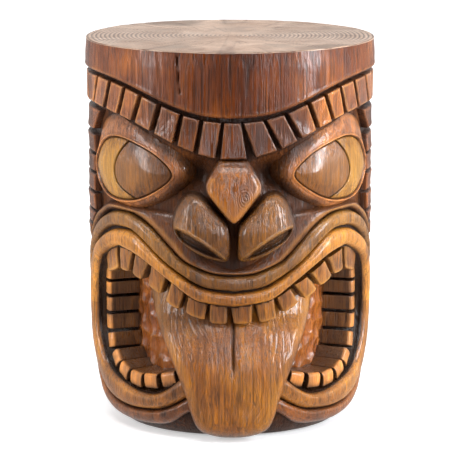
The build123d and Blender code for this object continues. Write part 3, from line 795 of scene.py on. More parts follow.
def forehead_band():
    """The band that stands proud over the brow blocks, up to the ledge that holds the table top."""
    a = np.linspace(-180, 180, 620, endpoint=False)
    low = forehead_edge(a)
    rows = np.concatenate([[0.0, 0.0, 0.35, 1.0, 2.0, 3.4, 5.0], np.arange(7, 84, 1.9)])[:, None]
    above = np.where(rows < 6, rows, 5.0 + (HEIGHT - 7.6 - low) * (rows - 5) / (rows[-1] - 5))
    z = low + above
    grain, run = 3.0, 90.0
    r = TOP_RADIUS - 0.3 - 1.5 * ease((z - 486) / 24)
    r = r + furrows(a, z, 11, grain, run) * (0.06 + 0.55 * bell(a, 38.0)) + lumps(a, z, 12, 34.0) * 0.55
    r -= round_over(above, 3.2)
    # One long crack, left of the middle
    crack = bell(a + 22.3 - (505 - z) * 0.028, 0.26) * ease((z - 452) / 8) * ease((506 - z) / 5)
    r += 0.5 * bell(above - 3.6, 2.2) - 3.2 * crack
    r[0] = 174.0
    # Round over to the table top, which lies on the ledge inside
    ledge = np.repeat([[189.2], [187.2], [187.2]], len(a), axis=1)
    rim = np.repeat([[1.5], [1.1], [2.4], [6.0], [8.0]], len(a), axis=1)
    r = np.vstack([r, r[-1] - 0.25, r[-1] - 0.7, ledge])
    z = np.vstack([z, HEIGHT - rim])
    crack = np.vstack([crack, np.zeros_like(rim)])
    # Painted shade under the band's lower edge, in the crack, in the carved grain and near the rim
    deep = most(
        0.75 * (z - low < 0.2),
        crack,
        0.75 * grooved(furrows(a, z, 11, grain, run), 0.6) * (0.06 + 0.94 * bell(a, 34.0)),
        0.3 * ease((z - HEIGHT + 3.5 + 1.6 * noise(a / 9, 0, 0, 14)) / 2.5),
    )
    deep[-1] = 0.9
    forehead = Piece("forehead_band")
    forehead.grid(on_log(a, z, r), deep, 0.4 * bell(z - low - 3.2, 1.4), wrap=True)
    forehead.make(["trunk"], WOOD["forehead"])


def mouth_wall():
    """The carved wall between the lips and the back of the mouth."""
    half = curve(MOUTH_LINE, np.linspace(0, len(MOUTH_LINE) - 1, 200))
    line = developed(np.vstack([half, (half * [-1, 1])[::-1][1:-1]]))
    # The line is drawn in along its own normals as the wall goes back
    tangent = np.roll(line, -1, 0) - np.roll(line, 1, 0)
    normal = np.stack([-tangent[:, 1], tangent[:, 0]], -1)
    normal /= np.linalg.norm(normal, axis=1)[:, None] + 1e-9
    normal *= np.sign((([0.0, 140.0] - line) * normal).sum(1))[:, None]
    # Distance back, how far the line is drawn in, and painted shade
    steps = [(0, 0, 0.85), (4, 0.2, 0.4), (9, 1.2, 0.2), (15, 2.6, 0.25), (22, 3.4, 0.4), (30, 4.0, 0.55)]
    steps += [(40, 4.4, 0.7), (52, 4.8, 0.85), (60, 5.0, 0.95)]
    rows = []
    for back, inwards, _ in steps:
        s, z = (line + normal * inwards).T
        r = np.maximum(log_radius(z) + 1.5 - back, LINING_RADIUS - 6)
        r += 0.7 * noise(s / 7, z / 7, back / 9, 21)
        rows.append(on_log(s / PER_DEGREE, z, r))
    wall = Piece("log_mouth_wall")
    wall.grid(np.stack(rows), np.array([[step[2]] for step in steps]), 0.0, wrap=True, back=False)
    wall.make(["trunk"], WOOD["wall"], crease=75)


# ---------------------------------------------------------------- blocks
def leaning(seed):
    """How a block leans, sideways and upwards, from -1 to 1."""
    n = np.int64(seed)
    return lattice(n, n * 3, n * 7, 5) * 2 - 1, lattice(n * 5, n, n * 2, 6) * 2 - 1


def block(piece, corners, relief, edge, seed, step=1.8, tilt=0.8):
    """A block between four corners, standing out of the log.

    A corner is an angle and a height, and they go from low left, anticlockwise.
    """
    (a0, z0), (a1, z1), (a2, z2), (a3, z3) = corners
    width = 0.5 * (abs(a1 - a0) + abs(a2 - a3)) * PER_DEGREE
    tall = 0.5 * (abs(z3 - z0) + abs(z2 - z1))
    u, v = np.meshgrid(spread(width, edge, step), spread(tall, edge, step))
    a, z = np.moveaxis(between(corners, u, v), -1, 0)
    d = np.minimum(np.minimum(u, 1 - u) * width, np.minimum(v, 1 - v) * tall)
    inner = ease(d / (edge * 2.2))
    sideways, upwards = leaning(seed)
    r = LOG_FACE + relief - round_over(d, edge) + tilt * (sideways * (u - 0.5) + upwards * (v - 0.5))
    r -= 0.7 * np.sin(math.pi * u) * np.sin(math.pi * v) * inner
    r += (furrows(a, z, seed + 40, 3.6, 40.0) * 0.55 + lumps(a, z, seed + 60, 12.0) * 0.35) * inner
    # A slightly ragged outline
    a = a + 0.35 * noise(a * PER_DEGREE / 5, z / 5, seed + 2.5, 33) / PER_DEGREE
    z = z + 0.35 * noise(a * PER_DEGREE / 5, z / 5, seed + 7.5, 34)
    ring = outer_ring(d.shape)
    r = np.where(ring, LOG_FACE - 3.0, r)
    # Painted shade round the block's edges and in its carved grain
    stain_and_shade = most(0.55 * bell(d, 0.25 * edge), 0.28 * grooved(furrows(a, z, seed + 40, 3.6, 40.0)) * inner)
    rub = 0.5 * bell(d - edge * 0.75, edge * 0.55) * (0.6 + 0.4 * noise(a * PER_DEGREE / 9, z / 9, seed, 35))
    piece.grid(on_log(a, z, r), np.where(ring, 1.0, stain_and_shade), np.where(ring, 0.0, rub))


def brow_corners(left, right):
    """The corners of the block between two slots."""
    top_left, low_left = left[0] + left[2] / 2 / PER_DEGREE, left[1] + left[3] / 2 / PER_DEGREE
    top_right, low_right = right[0] - right[2] / 2 / PER_DEGREE, right[1] - right[3] / 2 / PER_DEGREE
    low = [(a, brow_bottom(a)) for a in (low_left, low_right)]
    return low + [(a, forehead_edge(a) - 6.2) for a in (top_right, top_left)]


def brow_blocks():
    slots = [(-top, -low, t, b) for top, low, t, b in reversed(BROW_SLOTS_LEFT)] + BROW_SLOTS_RIGHT
    for number, (left, right) in enumerate(zip(slots, slots[1:]), start=1):
        piece = Piece(f"brow_{number:02d}")
        block(piece, brow_corners(left, right), BROW_RELIEF, 2.2, number, tilt=1.6)
        piece.make([f"brow_block_{number:02d}"], WOOD["brow"], crease=55)
    piece = Piece("brow_back")
    start, count = BROW_SLOTS_RIGHT[-1][0], 20
    pitch = (360 - 2 * start) / count
    for i in range(count):
        left, right = start + i * pitch, start + (i + 1) * pitch
        corners = brow_corners((left, left, 5, 5), (right, right, 5, 5))
        block(piece, corners, BROW_RELIEF, 2.2, 50 + i, step=2.6)
    piece.make(["back_brow_blocks"], WOOD["brow"], crease=55)


def side_blocks(side, name):
    """The stack of blocks behind an eye, cut off along the fold of the cheek."""
    piece = Piece(f"{name}_carved")
    fold_angles, fold_heights = np.array(SIDE_EDGE[:4], float).T
    front, rear = 72.0, 116

    def start(z):
        beside_fold = np.interp(z, fold_heights, fold_angles) + 2.6
        return front if z > 296 else max(front, beside_fold)

    for i, (low, high) in enumerate(zip(SIDE_ROWS, SIDE_ROWS[1:])):
        top = high - 3.4
        corners = [(start(low), low), (rear, low), (rear, top), (start(top), top)]
        if high == SIDE_ROWS[-1]:
            corners = [(front + 1.5, low + 4), (rear, low), (rear, top), (66.0, top)]
        if side < 0:
            corners = [(-a, z) for a, z in (corners[1], corners[0], corners[3], corners[2])]
        block(piece, corners, SIDE_RELIEF, 3.0, 90 + i + (9 if side > 0 else 0), step=2.4, tilt=1.8)
    piece.make([name], WOOD["side"], crease=55)


# ---------------------------------------------------------------- lips and cheeks
def band(piece, outer, inner, ends, relief, power, side=1, both=False):
    """A rounded band between two lines, from one place along them to another.

    both runs it across the middle of the face.
    """
    t = np.linspace(*ends, int((ends[1] - ends[0]) * 11))
    if both:
        t = np.concatenate([-t[::-1], t[1:]])
    mirror = np.stack([np.where(t < 0, -1.0, 1.0), np.ones(len(t))], -1)
    one, two = (curve(line, np.abs(t)) * mirror for line in (outer, inner))
    v = np.concatenate([[0.0], 0.5 - 0.5 * np.cos(math.pi * np.linspace(0, 1, 19)), [1.0]])[:, None, None]
    a, z = np.moveaxis(one * (1 - v) + two * v, -1, 0)
    a = a * side
    shape = np.sqrt(np.clip(1 - np.abs(2 * v[..., 0] - 1) ** power, 0, 1))
    base = log_radius(z)
    grain = furrows(a, z, 121, 3.4, 30.0)
    r = base - 1.0 + (relief + 1.0) * shape + shape * (0.55 * lumps(a, z, 120, 26.0) + 0.4 * grain)
    r[0], r[-1] = base[0] - 4.0, base[-1] - 4.0
    # Painted shade towards the band's edges and in its carved grain
    deep = most(1 - ease((shape - 0.12) / 0.42), 0.25 * grooved(grain))
    piece.grid(on_log(a, z, r), deep, 0.35 * bell(shape - 0.8, 0.12))


def place_at_height(line, z, after):
    """Where along a line it passes a height, beyond a given point."""
    t = np.linspace(after, len(line) - 1, 2000)
    h = curve(line, t)[:, 1]
    return float(t[np.argmax(h < z)])


def lips():
    gap = [(a * 0.975, h + (2.0 if h < 150 else -2.0)) for a, h in LIP_GROOVE_LINE]
    # The mouth's line has one point more than the other two, and the lip doesn't need it
    mouth = MOUTH_LINE[:9] + MOUTH_LINE[10:]
    for ring, outer, inner, relief, power, tops, lows in (
        ("outer", LIP_OUTER_LINE, LIP_GROOVE_LINE, OUTER_LIP_RELIEF, 3.0, "lip_outer", "lip_low_outer"),
        ("inner", gap, mouth, INNER_LIP_RELIEF, 2.6, "lip", "lip_low"),
    ):
        joint = sum(place_at_height(line, LIP_JOINT_HEIGHT, 8) for line in (outer, inner)) / 2
        upper = Piece(f"lip_upper_{ring}")
        band(upper, outer, inner, (0, joint), relief, power, both=True)
        upper.make([f"upper_lip_{ring}"], WOOD[tops], crease=70)
        for side, name in SIDES:
            lower = Piece(f"lip_lower_{ring}_{name}")
            band(lower, outer, inner, (joint, len(outer) - 1.6), relief, power, side=side)
            lower.make([f"lower_lip_{ring}_{name}"], WOOD[lows], crease=70)


def cheeks():
    """The folds that rise from the log to a crest and drop to the lip."""
    t = np.linspace(0, len(FOLD_TOP) - 1, 170)
    top, crest, foot = (curve(line, t) for line in (FOLD_TOP, FOLD_CREST, FOLD_FOOT))
    up = np.linspace(0, 1, 15)
    turn = np.linspace(0, math.pi / 2, 9)[1:]
    down = 1 - np.cos(turn)
    rise, drop = up[:, None, None], np.sin(turn)[:, None, None] ** 1.3
    sheet = np.concatenate([top * (1 - rise) + crest * rise, crest * (1 - drop) + foot * drop])
    sheet = np.concatenate([sheet[:1], sheet, sheet[-1:]])
    swell = np.concatenate([[0.0], 1 - (1 - up) ** 1.7, 1 - down * 0.86, [0.0]])[:, None]
    # Painted shade along both edges and on the side that drops from the crest to the lip
    deep = np.concatenate([[1.0], 0.35 * (1 - up) ** 2, ease((down - 0.28) / 0.5), [1.0]])[:, None]
    wear_and_highlight = np.concatenate([[0.0], 0.9 * bell(up - 1.0, 0.10), 0.9 * bell(down, 0.16), [0.0]])[:, None]
    ends = (0.72 + 0.28 * ease(t / 2.5)) * ease((len(FOLD_TOP) - 0.6 - t) / 1.6)
    for side, name in SIDES:
        a, z = sheet[..., 0] * side, sheet[..., 1]
        low = np.minimum(ground(a, z), LOG_FACE)
        r = (low - 0.6) * (1 - swell) + (LOG_FACE + CHEEK_RELIEF * ends) * swell
        r += (0.45 * lumps(a, z, 140, 20.0) + 0.4 * furrows(a, z, 141, 3.2, 30.0)) * swell
        r[0], r[-1] = low[0] - 4, low[-1] - 4
        piece = Piece(f"cheek_fold_{name}")
        piece.grid(on_log(a, z, r), deep, wear_and_highlight)
        piece.make([f"cheek_{name}"], WOOD["cheek"], crease=70)


# ---------------------------------------------------------------- eyes
EYE_MIDDLE = (50.0, 350.0)


def eye_height(a, z):
    """Height of the eyeball over the log, and the distance to the eye's outline."""
    d = away_from(np.abs(a) * PER_DEGREE, z, developed(loop(EYE_LINE, 120)))
    return 5.6 + 6.0 * (1 - (1 - np.clip(d / 30.0, 0, 1)) ** 2.2), d


def eye_part(side, name, of_iris):
    """The iris or the white: level rows between the eye's outline and the line between the two."""
    outline = loop(EYE_LINE, 400)
    border = curve(IRIS_LINE, np.linspace(0, len(IRIS_LINE) - 1, 400))
    rising = border[np.argsort(border[:, 1])]
    (a0, z0), (a1, z1) = outline.T, np.roll(outline, -1, 0).T

    def limits(z):
        line = np.interp(z, rising[:, 1], rising[:, 0])
        hit = (z0 > z) != (z1 > z)
        cross = (a0 + (a1 - a0) * (z - z0) / np.where(hit, z1 - z0, 1.0))[hit]
        left, right = cross.min(), cross.max()
        if of_iris:
            return left + 0.35, max(left + 0.4, min(line - 0.28, right - 0.35))
        return min(max(line + 0.28, left + 0.35), right - 0.4), right - 0.35

    low, high = (314.0, 389.0) if of_iris else (outline[:, 1].min() + 0.6, outline[:, 1].max() - 0.6)
    rows = low + (high - low) * (0.5 - 0.5 * np.cos(np.linspace(0, math.pi, 60)))
    u = np.concatenate([[0.0], 0.5 - 0.5 * np.cos(np.linspace(0, math.pi, 56)), [1.0]])
    pairs = np.array([limits(z) for z in rows])
    a = pairs[:, :1] * (1 - u) + pairs[:, 1:] * u
    z = np.broadcast_to(rows[:, None], a.shape)
    dome, d = eye_height(a, z)
    split = away_from(a * PER_DEGREE, z, developed(border), False)
    r = LOG_FACE + dome - 2.6 * (1 - ease((split - 0.4) / 1.6)) - 1.6 * (1 - ease(d / 2.4))
    r += 0.3 * lumps(a, z, 150, 18.0) + 0.16 * furrows(a, z, 151, 3.4, 40.0)
    # Painted shade along the line between iris and white and round the eye's outline
    deep = most(0.9 * (1 - ease((split - 0.5) / 1.5)), 0.7 * (1 - ease((d - 0.8) / 2.6)))
    ring = outer_ring(a.shape)
    r = np.where(ring, 175.0, r)
    piece = Piece(f"{name}_carved")
    piece.grid(on_log(a * side, z, r), np.where(ring, 1.0, deep), 0.35 * ease((d - 8) / 14))
    slot, wood = ("iris", "iris") if of_iris else ("eye_white", "white")
    piece.make([name], WOOD[wood])


def eyelid(side, name):
    """The mound round an eye, which rises from the scoop by the nose to a thin rim round the eye."""
    bearing = np.linspace(-math.pi, math.pi, 260, endpoint=False)

    def reach(line):
        """How far a closed line is from the eye's middle, along each bearing."""
        across, up = ((loop(line, 1200) - EYE_MIDDLE) * [PER_DEGREE, 1]).T
        angle = np.arctan2(up, across)
        order = np.argsort(angle)
        return np.interp(bearing, angle[order], np.hypot(across, up)[order], period=2 * math.pi)

    eye_far, lid_far = reach(EYE_LINE), reach(LID_LINE)
    v = np.concatenate([[0.0], np.linspace(0, 1, 26), [1.0]])[:, None]
    far = lid_far * (1 - v) + (eye_far - 0.6) * v
    a = EYE_MIDDLE[0] + far * np.cos(bearing) / PER_DEGREE
    z = EYE_MIDDLE[1] + far * np.sin(bearing)
    by_nose = ease((-np.cos(bearing) - 0.35) / 0.5)
    over = far - eye_far
    swell = 1 - (1 - v) ** 2.0
    at_edge = ground(a, z) * by_nose + (LOG_FACE + 0.8) * (1 - by_nose)
    r = at_edge * (1 - swell) + (LOG_FACE + LID_RELIEF) * swell
    r += 1.1 * bell(over - 1.7, 1.3) - 0.45 * bell(over - 5.0, 1.6) - 2.6 * (1 - ease((over + 0.6) / 1.6))
    body = ease(over / 4) * ease(v / 0.2)
    r += (0.5 * lumps(a, z, 160, 24.0) + 0.35 * furrows(a, z, 161, 3.6, 40.0)) * body
    r[0] = np.minimum(r[0], ground(a[0], z[0])) - 4
    r[-1] = 176.0
    # Painted shade round the eye, at the lid's outer foot, in the scoop by the nose and under the brow blocks
    deep = most(
        0.75 * (1 - ease((over + 0.2) / 1.2)) + 0.12 * bell(over - 5.0, 1.4),
        0.75 * (1 - ease(v / 0.12)) * (1 - by_nose),
        0.8 * by_nose * (1 - ease((v - 0.25) / 0.6)),
        0.6 * ease((z - brow_bottom(a) + 10) / 12),
    )
    # Wear on the rim round the eye, and a painted highlight on the lid's upper outer part
    wear_and_highlight = 0.45 * bell(over - 1.7, 0.9) + 0.18 * ease((z - 380) / 30) * ease((a - 52) / 10)
    piece = Piece(f"{name}_mound")
    piece.grid(on_log(a * side, z, r), deep, wear_and_highlight, wrap=True)
    piece.make([name], WOOD["lid"])


# ---------------------------------------------------------------- nose
def nose_bridge():
    half = BRIDGE_LINE
    outline = straight_loop([*half, *[(-x, h) for x, h in reversed(half[1:-1])]], 260, soften=14)
    x, z = shrinking(outline, (0.0, 336.0), 46, 0.97, 1.35)
    d = away_from(x, z, outline)
    r = table(NOSE_PROFILE, z) + 1.5 - round_over(d, 9.0) * 0.95
    # Broad chisel cuts that meet in soft ridges
    r -= most(0.16 * (np.abs(x) - 11), 0.20 * (z - 352), 0.10 * (322 - z), 0.0) * ease(d / 6)
    r += 0.45 * lumps(x / PER_DEGREE, z, 170, 16.0) + 0.3 * furrows(x / PER_DEGREE, z, 171, 3.6, 40.0)
    knot = np.hypot((x - 14) * 1.5, z - 325)
    r += 0.45 * np.sin(knot * 1.5) * bell(knot, 16.0)
    r[0] = 172.0
    # Painted shade round the edge, in the rings of the knot and towards the top
    deep = most(
        0.7 * (1 - ease(d / 3.0)),
        0.3 * bell(np.sin(knot * 0.75), 0.35) * bell(knot, 16.0),
        0.55 * ease((z - 357) / 10),
    )
    deep[0] = 1.0
    wear_and_highlight = 0.75 * bell(d - 5.0, 3.0) * (z < 350) + 0.4 * ease((330 - z) / 20) * ease(d / 5)
    piece = Piece("nose_bridge_carved")
    piece.dome(from_front(x, z, r), deep, wear_and_highlight)
    piece.make(["nose_bridge"], WOOD["nose"])


def nostril(side, name):
    outline = loop(NOSTRIL_LINE, 380)
    x, z = shrinking(outline, (42.0, 291.0), 84, 0.985, 1.15)
    d = away_from(x, z, outline[::2])
    hole = loop(NOSTRIL_HOLLOW, 120)
    into_hole = np.where(within(x, z, hole), 1.0, -1.0) * away_from(x, z, hole)
    r = table(NOSE_PROFILE, z) + 1.0 - round_over(d, 21.0) * 0.86
    r += 0.5 * lumps(x / PER_DEGREE, z, 180, 20.0) + 0.45 * furrows(x / PER_DEGREE, z, 181, 3.4, 60.0)
    r += 1.0 * bell(into_hole + 2.2, 1.6) - 11.0 * ease((into_hole + 0.5) / 5.5)
    r[0] = 170.0
    # Painted shade in the hollow and round the edge
    deep = most(0.82 * ease((into_hole + 0.6) / 4.0), 0.8 * (1 - ease((d + 0.5) / 3.5)))
    deep[0] = 1.0
    piece = Piece(f"{name}_carved")
    piece.dome(from_front(x * side, z, r), deep, 0.7 * bell(into_hole + 2.3, 1.4))
    piece.make([name], WOOD["nostril"], crease=65)


# ---------------------------------------------------------------- mouth
def upper_teeth():
    lip = curve(MOUTH_LINE, np.linspace(0, 12, 300))
    edge = 3.0
    for number, corners in enumerate(UPPER_TEETH, start=1):
        low_left, low_right, high_right, high_left = np.array(corners, float) * [TOOTH_PER_DEGREE, 1.0]
        # The top goes on a little under the lip
        high_left = high_left + (high_left - low_left) * 0.34
        high_right = high_right + (high_right - low_right) * 0.34
        width = float(np.hypot(*(low_right - low_left)))
        tall = float(0.5 * (np.hypot(*(high_left - low_left)) + np.hypot(*(high_right - low_right))))
        rounded = edge * (1 - np.cos(np.linspace(0, math.pi / 2, 6)))[1:]
        upright = np.linspace(edge, tall, max(6, int(tall / 1.8)))[1:]
        up = np.concatenate([[0, 0], rounded, upright, [tall]]) / tall
        u, v = np.meshgrid(spread(width, edge, 1.4), up)
        x, z = np.moveaxis(between((low_left, low_right, high_right, high_left), u, v), -1, 0)
        z = z + 2.4 * np.abs(2 * u - 1) ** 4 * (1 - v)
        x = x + 0.4 * noise(x / 6, z / 6, number, 64)
        d = np.minimum(np.minimum(u, 1 - u) * width, v * tall)
        grain = furrows(x / PER_DEGREE, z, 230 + number, 3.2, 30)
        r = TOOTH_FACE - 0.95 * round_over(d, edge) + 1.2 * (1 - (2 * u - 1) ** 2) - 1.6 * (1 - v)
        r += 0.5 * lumps(x / PER_DEGREE, z, 200 + number, 9.0) + 0.45 * grain
        ring = outer_ring(d.shape)
        r = np.where(ring, 160.0, r)
        under_lip = np.interp(np.abs(x / TOOTH_PER_DEGREE), lip[:, 0], lip[:, 1]) - z
        # Painted shade round the edges, under the lip and in the grain
        deep = most(
            np.where(ring, 1.0, 0.45 * bell(d, 0.9)),
            0.85 * (1 - ease((under_lip + 1.0) / 5.0)),
            0.3 * grooved(grain),
        )
        wear_and_highlight = np.where(ring, 0, 0.55 * bell(d - 2.2, 1.5) + 0.25 * bell(v * tall - 3.0, 2.5))
        piece = Piece(f"tooth_upper_{number:02d}")
        piece.grid(on_log(x / TOOTH_PER_DEGREE, z, r), deep, wear_and_highlight)
        piece.make([f"upper_tooth_{number:02d}"], WOOD["tooth"])


def tooth_profile(corner, front, rear):
    """The lower teeth from root to back: (height over the tooth's top, distance from the axis)."""
    bend = np.linspace(0, math.pi / 2, 8)
    profile = [(-19.0, front - 2.0), (-15, front - 0.6), (-11, front), (-8, front + 0.2)]
    profile += [(-corner + corner * math.sin(b), front - corner + corner * math.cos(b)) for b in bend]
    profile += [(0.0, r) for r in np.linspace(front - corner - 2, rear, 18)]
    return np.array(profile)


def lower_teeth(side, name):
    """The row that climbs round a corner of the mouth, each tooth facing the middle of the mouth."""
    corner, front = 4.6, 169.0
    profile = tooth_profile(corner, front, 127.0)
    tangent = np.gradient(profile, axis=0)
    normal = np.stack([-tangent[:, 1], tangent[:, 0]], -1)
    normal /= np.linalg.norm(normal, axis=1)[:, None]
    normal = -normal if normal[0, 1] < 0 else normal
    height, depth = profile.T
    on_front = ease((depth - (front - corner * 1.4)) / (corner * 1.1))[:, None]
    inside = 1 - on_front
    piece = Piece(f"{name}_carved")
    for number, (angle, level, faces_up, width) in enumerate(LOWER_TEETH):
        wide = width - 1.1
        w = spread(wide, 2.0, 1.8)
        d = np.minimum(w, 1 - w) * wide
        across = (w - 0.5) * wide
        drop = round_over(d, 1.6)
        drop[[0, -1]] = 13.0
        texture = 0.22 * noise(depth[:, None] / 9.0, w * wide / 2.2, number, 61)
        texture += 0.2 * noise(depth[:, None] / 9.0, w * wide / 9.0, number + 3, 62)
        texture[:, [0, -1]] = 0
        out, far = np.moveaxis(profile[:, None] + normal[:, None] * (texture - drop)[..., None], -1, 0)
        up, turn = math.radians(faces_up), math.radians(angle)
        # The sides are drawn in towards the axis
        x = (-math.cos(up) * out + math.sin(up) * across) * far / 172.0
        z = level + math.sin(up) * out + math.cos(up) * across
        px = far * math.sin(turn) + x * math.cos(turn)
        py = -far * math.cos(turn) + x * math.sin(turn)
        # Painted shade on the inner faces, further into the mouth, towards the root and between the teeth
        deep = most(
            inside * 0.5,
            0.9 * bell(d, 1.0)[None, :],
            0.65 * inside * ease((140 - depth) / 12)[:, None],
            0.8 * ease((-height - 13) / 6)[:, None],
        )
        deep[:, [0, -1]] = 1.0
        wear_and_highlight = 0.85 * on_front * (0.7 + 0.3 * noise(across / 5, depth[:, None] / 5, number, 63))
        piece.grid(np.stack([px * side, py, z], -1), deep, wear_and_highlight * (1 - deep * 0.7))
    piece.make([name], WOOD["molar"])


def mouth_lining():
    """The gouged back of the mouth: shallow scoops that meet in ridges."""
    a, z = np.meshgrid(np.linspace(-86, 86, 190), np.linspace(50, 252, 150))
    s = a * 2.24
    scoop, scatter = 19.0, 13
    best = np.full(a.shape, 1e9)
    second = best.copy()
    for i in range(-12, 13):
        for j in range(2, 15):
            shift = [scatter * (lattice(np.int64(i), np.int64(j), np.int64(k), 70 + k) - 0.5) for k in (1, 2)]
            d = np.hypot(s - i * scoop - shift[0], (z - j * scoop - shift[1]) * 0.85)
            second = np.minimum(second, np.maximum(best, d))
            best = np.minimum(best, d)
    ridge = 1 - ease((second - best) / 4.5)
    r = np.minimum(126.0 + 0.022 * best**2 + 0.5 * noise(s / 5, z / 5, 0, 73), 134.0)
    r[outer_ring(r.shape)] = 121.0
    # Painted shade towards the sides and the top of the mouth
    deep = most(0.6 * ease((np.abs(a) - 62) / 14), 0.5 * ease((z - 205) / 25))
    piece = Piece("mouth_lining_gouged")
    piece.grid(on_log(a, z, r), deep, 0.4 * ridge * (0.5 + 0.5 * noise(s / 15, z / 15, 0, 74)))
    piece.make(["mouth_lining"], WOOD["lining"], crease=40)


def tongue():
    half = curve(TONGUE_LINE, np.linspace(0, len(TONGUE_LINE) - 1, 160))
    root = [(-105, 205), (-60, 207), (0, 207), (60, 207), (105, 205)]
    outline = straight_loop(np.vstack([half, (half * [-1, 1])[::-1][1:], root]), 460, soften=4)
    x, z = shrinking(outline, (0.0, 105.0), 96, 0.99, 1.25)
    d = away_from(x, z, outline[::2])
    r = table(TONGUE_FRONT, z) + 0.6 - round_over(d, 13.0) * 0.8
    r += 2.2 * bell(np.abs(x) - 30, 22.0) * ease((z - 60) / 60)
    groove = ease((z - 84) / 24)
    r -= 4.2 * bell(x - 0.8 * noise(z / 30, 0, 0, 80), 2.3) * groove
    flow = x + 9 * noise(x / 45, z / 55, 0, 81) + 3 * noise(x / 15, z / 26, 0, 82)
    cut = 1 - ease(np.abs(noise(flow / 2.6, z / 46, 0.0, 83)) / 0.36)
    r += 0.5 * lumps(x / PER_DEGREE, z, 84, 24.0) - 0.5 * cut
    r[0] = 125.0 + (log_radius(z[0]) - 139.0) * ease((125 - z[0]) / 45)
    # Painted shade round the edge, in the middle groove and the cuts, and towards the bottom
    deep = most(
        0.55 * (1 - ease(d / 3)),
        0.16 * cut,
        0.85 * bell(x, 2.4) * groove,
        0.35 * ease((60 - z) / 60) * (1 - ease((d - 2) / 24)),
        # Painted shade on the upper left, the side away from the brighter lamp
        0.42 * ease((z - 112) / 45) * ease((-x - 12) / 26),
    )
    deep[0] = 1.0
    piece = Piece("tongue_carved")
    piece.dome(from_front(x, z, r), deep, 0.35 * bell(d - 8, 6), back=(0, -125, 110))
    piece.make(["tongue"], WOOD["tongue"])


# ---------------------------------------------------------------- table top and base
def table_top():
    """The log's end: rings in low relief inside a rounded edge."""
    edge = 190.0
    r = np.concatenate([[edge - 0.1, edge, edge - 0.2, edge - 0.7, edge - 1.6], np.linspace(187.2, 1.5, 124)])
    r, a = np.meshgrid(r, np.linspace(-180, 180, 260, endpoint=False), indexing="ij")
    x, y = r * np.sin(np.radians(a)), -r * np.cos(np.radians(a))
    wobble = 2.6 * noise(x / 70, y / 70, 0, 90) + 0.9 * noise(x / 22, y / 22, 0, 91)
    rings = np.sin((r + wobble) * 2 * math.pi / RING_PITCH)
    cracks = bell(np.abs(noise(a / 5.0, r / 160, 0, 93)), 0.06)
    z = HEIGHT - 0.9 + 0.22 * rings + 0.25 * noise(x / 30, y / 30, 0, 92) - 0.5 * cracks
    z -= round_over(edge - r, 1.6) * 0.7
    z[0] = HEIGHT - 2.3
    # Painted shade in the cracks and in the troughs between the rings
    deep = 0.4 * cracks + 0.5 * ease((-rings - 0.45) / 0.5)
    deep[0] = 0.6
    piece = Piece("table_top")
    points = np.stack([x, y, np.minimum(z, HEIGHT)], -1)
    piece.dome(points, deep, 0.3 * bell(r - 189, 2.0), back=(0, 0, HEIGHT - 13.5))
    piece.make(["top_slab"], end_grain("end_grain"))


log_body()
forehead_band()
mouth_wall()
brow_blocks()
for side, name in SIDES:
    side_blocks(side, f"side_blocks_{name}")
    eye_part(side, f"iris_{name}", True)
    eye_part(side, f"eye_white_{name}", False)
    eyelid(side, f"eyelid_{name}")
    nostril(side, f"nostril_{name}")
    lower_teeth(side, f"lower_teeth_{name}")
nose_bridge()
lips()
cheeks()
upper_teeth()
mouth_lining()
tongue()
table_top()

kept = {
    "base_plate": plain_part("base_board", (78, 54, 38), (112, 80, 56), 0.55, 0.0, (40, 40, 40), 0.0004),
    "base_screws": plain_part(
        "screw_steel", (120, 120, 122), (176, 176, 178), 0.28, 1.0, (300, 300, 40), 0.0001,
    ),
    "glides": plain_part("glide_rubber", (24, 24, 24), (44, 43, 42), 0.7, 0.0, (260, 260, 260), 0.0002),
}
for name, material in kept.items():
    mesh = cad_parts[name].data
    mesh.materials.clear()
    mesh.materials.append(material)

# ---------------------------------------------------------------- floor, light and camera, in metres
FLOOR_REACH = 60.0  # so that it fills the view from every side


def add_floor():
    mesh = bpy.data.meshes.new("floor")
    corners = [(-FLOOR_REACH, -FLOOR_REACH, 0), (FLOOR_REACH, -FLOOR_REACH, 0)]
    corners += [(FLOOR_REACH, FLOOR_REACH, 0), (-FLOOR_REACH, FLOOR_REACH, 0)]
    mesh.from_pydata(corners, [], [(0, 1, 2, 3)])
    paper = bpy.data.materials.new("pale_paper")
    paper.use_nodes = True
    tree = paper.node_tree
    shader = tree.nodes["Principled BSDF"]
    shader.inputs["Base Color"].default_value = (0.92, 0.92, 0.92, 1)
    shader.inputs["Roughness"].default_value = 0.9
    shader.inputs["Emission Strength"].default_value = 1.0
    # Paler behind the table, far from the lamps
    place = node(tree, "ShaderNodeTexCoord").outputs["Object"]
    behind = maths(tree, "MULTIPLY", axis(tree, place, 1), 0.2)
    glow = ramp(tree, behind, [(0.06, grey(0.4)), (0.6, grey(0.75))])
    tree.links.new(glow, shader.inputs["Emission Color"])
    mesh.materials.append(paper)
    floor = bpy.data.objects.new("floor", mesh)
    bpy.context.scene.collection.objects.link(floor)
    floor.visible_glossy = False


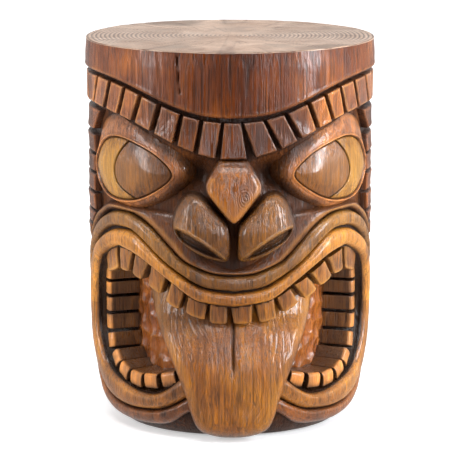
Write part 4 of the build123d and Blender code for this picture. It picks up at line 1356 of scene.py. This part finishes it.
def add_sky():
    """The world's light: dark in front of the face, where the camera is, and pale at the sides and behind."""
    world = bpy.data.worlds.new("studio")
    bpy.context.scene.world = world
    world.use_nodes = True
    sky = world.node_tree
    place = node(sky, "ShaderNodeTexCoord").outputs["Generated"]
    along = maths(sky, "ADD", maths(sky, "MULTIPLY", axis(sky, place, 1), 0.5), 0.5)
    shade = ramp(sky, along, [(0.06, grey(0.03)), (0.26, grey(0.32)), (0.52, grey(1.0))])
    sky.links.new(shade, sky.nodes["Background"].inputs["Color"])
    sky.nodes["Background"].inputs["Strength"].default_value = 0.62


def put(name, data, place, aim):
    """A lamp or camera at a place, turned towards another."""
    thing = bpy.data.objects.new(name, data)
    thing.location = place
    thing.rotation_euler = (Vector(aim) - Vector(place)).to_track_quat("-Z", "Y").to_euler()
    bpy.context.scene.collection.objects.link(thing)
    return thing


def lamp(name, place, aim, size, power, colour=(1, 1, 1)):
    light = bpy.data.lights.new(name, "AREA")
    light.shape = "RECTANGLE"
    light.size, light.size_y = size
    light.energy = power
    light.color = colour
    put(name, light, place, aim)


add_floor()
add_sky()
lamp("right_side", (2.6, -1.3, 1.1), (0, 0, 0.3), (0.7, 2.0), 132, (0.98, 1.02, 1.08))
lamp("left_side", (-2.7, -1.2, 1.1), (0, 0, 0.3), (0.7, 2.0), 60, (0.97, 0.98, 1.0))
lamp("front", (0.9, -3.2, 1.6), (0, 0, 0.26), (1.0, 1.0), 7, (1.0, 0.97, 0.93))
lamp("overhead", (0.0, -1.0, 2.7), (0, 0, 0.3), (2.4, 0.8), 60)

YAW, AWAY, CAMERA_HEIGHT, AIM_HEIGHT = math.radians(-1.4), 4.0, 0.973, 0.248
lens = bpy.data.cameras.new("camera")
lens.sensor_width = 36.0
lens.lens = 238.4
lens.clip_end = 50
from_above = (AWAY * math.sin(YAW), -AWAY * math.cos(YAW), CAMERA_HEIGHT)
bpy.context.scene.camera = put("camera", lens, from_above, (0, 0, AIM_HEIGHT))
bpy.context.scene.view_settings.view_transform = "Standard"
